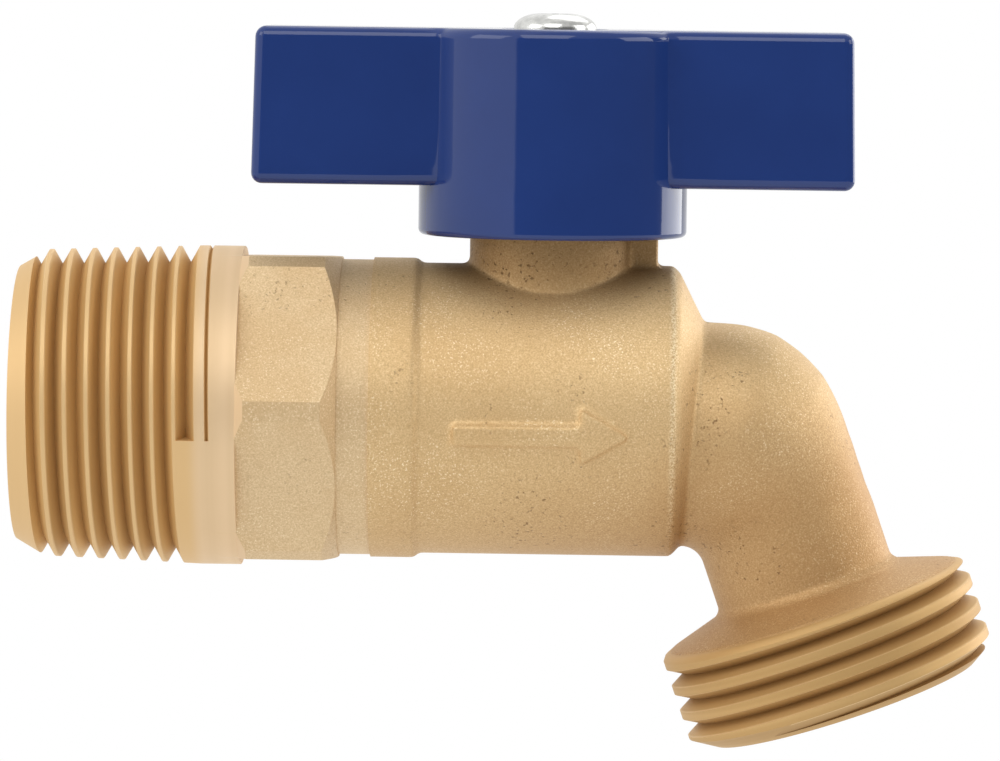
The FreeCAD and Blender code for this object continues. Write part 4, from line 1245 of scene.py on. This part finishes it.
dome = [
    (head_base + HEAD_RIM + dome_height * math.sin(math.radians(angle)),
     CROWN_RADIUS + (HEAD_RADIUS - CROWN_RADIUS) * math.cos(math.radians(angle)))
    for angle in range(0, 91, 9)
]
screw = turned("handle_screw_zinc", [
    (screw_low.z, SCREW_RADIUS - SCREW_POINT),
    (screw_low.z + SCREW_POINT, SCREW_RADIUS),
    (head_base, SCREW_RADIUS),
    (head_base, HEAD_RADIUS - HEAD_EDGE),
    (head_base + HEAD_EDGE, HEAD_RADIUS),
] + dome, UP_STEM, sides=SMALL_SIDES)
machine(screw, thread_tool(
    "screw_thread", SCREW_PITCH, SCREW_TURNS, SCREW_RADIUS, SCREW_THREAD_DEPTH,
    screw_low.z - 0.5, 0, UP_STEM, zinc_plate))
for across, along in (CROSS_SIZES, CROSS_SIZES[::-1]):
    machine(screw, block(
        "cross", (-across / 2, -along / 2, screw_high.z - CROSS_DEPTH),
        (across / 2, along / 2, screw_high.z + 1)))
dress(screw, zinc_plate)

washer_radius = washer_high.y
washer = turned("lock_washer_zinc", [
    (washer_low.z, washer_radius - WASHER_EDGE),
    (washer_low.z + WASHER_EDGE, washer_radius),
    (washer_high.z - WASHER_EDGE, washer_radius),
    (washer_high.z, washer_radius - WASHER_EDGE),
], UP_STEM, sides=SMALL_SIDES)
machine(washer, turned("washer_hole", [
    (washer_low.z - 1, SCREW_HOLE_RADIUS), (washer_high.z + 1, SCREW_HOLE_RADIUS),
], UP_STEM, sides=SMALL_SIDES))
saw = block("saw", (-SAW_HALF, -washer_radius - 1, washer_low.z - 1), (SAW_HALF, -1, washer_high.z + 1))
machine(washer, settle(saw, AT_STEM @ Matrix.Rotation(SAW_ANGLE, 4, "Z") @ AT_STEM.inverted()))
dress(washer, zinc_plate)
print("screw:", len(screw.data.polygons), "faces; washer:", len(washer.data.polygons), "faces")

# %% [markdown]
# ## Smooth and sharp
#
# A face can be shaded flat or as part of a round. Shading by angle keeps turned and forged surfaces
# round and leaves the crests of the threads and the bored edges sharp. Where a large flat face meets
# a narrow round, the large face should stay flat, so the normals are weighted by the faces' areas.

# %% Shading
SHARP_ANGLE = math.radians(32)

for piece in (inlet_connector, valve_body, handle, screw, washer):
    hold(piece)
    bpy.ops.object.shade_smooth_by_angle(angle=SHARP_ANGLE)
    if piece != valve_body:
        modify(piece, "weighted", "WEIGHTED_NORMAL", keep_sharp=True)
    print(piece.name, "shaded,", [slot.material.name for slot in piece.material_slots if slot.material])

# %% [markdown]
# ## Putting the pieces on the frame
#
# Each new piece stands for its CAD node and moves with that node's body. The inner pieces keep their
# CAD shapes and only get a finish.

# %% Bodies, slots and finishes
for piece, node, body, slot in (
        (inlet_connector, "inlet_connector", "body", "forged_brass"),
        (valve_body, "valve_body", "body", "forged_brass"),
        (handle, "handle", "handle_and_stem", "blue_enamel"),
        (screw, "handle_screw", "handle_and_stem", "zinc_steel"),
        (washer, "lock_washer", "handle_and_stem", "zinc_steel")):
    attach(piece, body)
    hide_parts(node)

for node, finish in (
        ("ball", chrome), ("stem", turned_stem), ("inlet_seat", seat_plastic),
        ("outlet_seat", seat_plastic), ("thrust_washer", seat_plastic), ("body_seal", seal_rubber),
        ("stem_o_ring_lower", seal_rubber), ("stem_o_ring_upper", seal_rubber)):
    frame["nodes"][node].material_slots[0].material = finish

# %% [markdown]
# ## Floor, backdrop and light
#
# The photograph was taken on pure white with large soft lamps. The floor is a pale plate well under
# the fitting. Close to the fitting it takes the fitting's soft shadow, and further off it goes over
# into the white of the backdrop, so that no edge shows. It also glows, like a light table, which
# opens up the underside of the brass. The world is a studio: bright above, to the left and behind,
# and dark on the camera's side. That dark field keeps the flat faces of the enamel deep, and the
# edge of the bright field is the sharp line that the round hub reflects.

# %% Floor
FLOOR_DROP = 30.0
FLOOR_SIZE = 0.9
FLOOR_GREY = (0.86, 0.86, 0.86, 1)
FLOOR_ROUGHNESS = 0.7
SHADOW_REACH = 60.0
WHITE_REACH = 160.0
SHADOW_SHARE = 0.35
TABLE_GLOW = 1.0


def as_camera_sees(tree, otherwise, seen, name):
    """One value for what the camera sees and another for all other light."""
    node = add_node(tree, "Mix", name, {"data_type": "FLOAT"})
    camera_ray = add_node(tree, "LightPath").outputs["Is Camera Ray"]
    for index, value in ((0, camera_ray), (2, otherwise), (3, seen)):
        fill(tree, node.inputs[index], value)
    return node.outputs[0]


bpy.ops.mesh.primitive_plane_add(
    size=FLOOR_SIZE, location=(stem_x * MM, 0, cad_low.z - FLOOR_DROP * MM))
floor = bpy.context.object
floor.name = "floor"
floor_material, tree, shader = new_material("pale floor")
shader.inputs["Base Color"].default_value = FLOOR_GREY
shader.inputs["Roughness"].default_value = FLOOR_ROUGHNESS
from_middle = maths(tree, "LENGTH", object_place(tree), name="from the middle", kind="VectorMath")
white = mapped(
    tree, from_middle, SHADOW_REACH * MM, WHITE_REACH * MM, 1 - SHADOW_SHARE, 1.0, smooth=True,
    name="white further off")
lift = as_camera_sees(tree, TABLE_GLOW, white, "white only as the camera sees it")
glow = add_node(tree, "Emission", Strength=1.0)
seen = tree.nodes.new("ShaderNodeMixShader")
for socket, value in zip(seen.inputs, (lift, shader.outputs[0], glow.outputs[0])):
    fill(tree, socket, value)
fill(tree, tree.nodes["Material Output"].inputs["Surface"], seen.outputs[0])
floor.data.materials.append(floor_material)
print("floor at z = %.1f mm" % (floor.location.z / MM))

# %% World
DARK_FIELD_LEFT = -31
DARK_FIELD_RIGHT = 110
DARK_FIELD_TOP = 25
DARK_FIELD_LEVEL = 0.16
BRIGHT_FIELD_LEVEL = 0.95
ABOVE_SHARE = 0.6

world = bpy.data.worlds.new("studio")
bpy.context.scene.world = world
world.use_nodes = True
tree = world.node_tree
background = tree.nodes["Background"]
background.inputs["Color"].default_value = (1, 1, 1, 1)
room_place = add_node(tree, "TexCoord").outputs["Generated"]
direction = add_node(tree, "SeparateXYZ", Vector=room_place).outputs
towards_camera = maths(tree, "MULTIPLY", direction["Y"], -1.0)
azimuth = maths(tree, "ARCTAN2", direction["X"], towards_camera, name="angle from the camera's side")
left_field = mapped(
    tree, azimuth, math.radians(DARK_FIELD_LEFT), math.radians(DARK_FIELD_LEFT - 3), smooth=True,
    name="left of the camera")
right_field = mapped(
    tree, azimuth, math.radians(DARK_FIELD_RIGHT - 10), math.radians(DARK_FIELD_RIGHT + 10),
    smooth=True, name="far right")
top_field = mapped(
    tree, direction["Z"], math.sin(math.radians(DARK_FIELD_TOP - 4)),
    math.sin(math.radians(DARK_FIELD_TOP + 6)), 0.0, ABOVE_SHARE, smooth=True, name="above")
sides = maths(tree, "MAXIMUM", left_field, right_field)
bright = maths(tree, "MAXIMUM", sides, top_field)
room = mapped(tree, bright, 0.0, 1.0, DARK_FIELD_LEVEL, BRIGHT_FIELD_LEVEL, name="room")
fill(tree, background.inputs["Strength"], as_camera_sees(tree, room, 1.0, "camera sees white"))
print("world:", world.name)

# %% [markdown]
# ## Lamps
#
# Soft boxes stand round the fitting, a little above it, so the handle shades the boss and the top of
# the barrel. A large one on the camera's side gives the main light, two at the left and the right
# model the hexagon and the bend of the spout, and one high behind draws the upper edges. The rim box
# stands behind the right end: the hub mirrors it as a pale upright band under the arm.

# %% Lamps
LAMP_TARGET = Vector((stem_x, 0, 5)) * MM


def soft_lamp(name, azimuth, elevation, distance, size, power):
    """A square soft box that looks at the fitting; azimuth 0 is on the camera's side."""
    data = bpy.data.lights.new(name, "AREA")
    data.size = size
    data.energy = power
    lamp = bpy.data.objects.new(name, data)
    bpy.context.scene.collection.objects.link(lamp)
    turn, lift = math.radians(azimuth), math.radians(elevation)
    offset = Vector((math.sin(turn) * math.cos(lift), -math.cos(turn) * math.cos(lift), math.sin(lift)))
    lamp.location = LAMP_TARGET + offset * distance
    lamp.rotation_euler = offset.to_track_quat("Z", "Y").to_euler()


soft_lamp("left_box", -62, 28, 0.9, 0.5, 1.5)
soft_lamp("top_box", -8, 42, 0.9, 0.6, 2.35)
soft_lamp("right_box", 78, 20, 0.9, 0.5, 2.0)
soft_lamp("rim_box", 127, 6, 0.9, 0.65, 3.3)
soft_lamp("back_box", 160, 50, 1.0, 0.6, 1.5)

# %% [markdown]
# ## Update
#
# The view layer is brought up to date after the last changes.

# %% Update the view layer
bpy.context.view_layer.update()
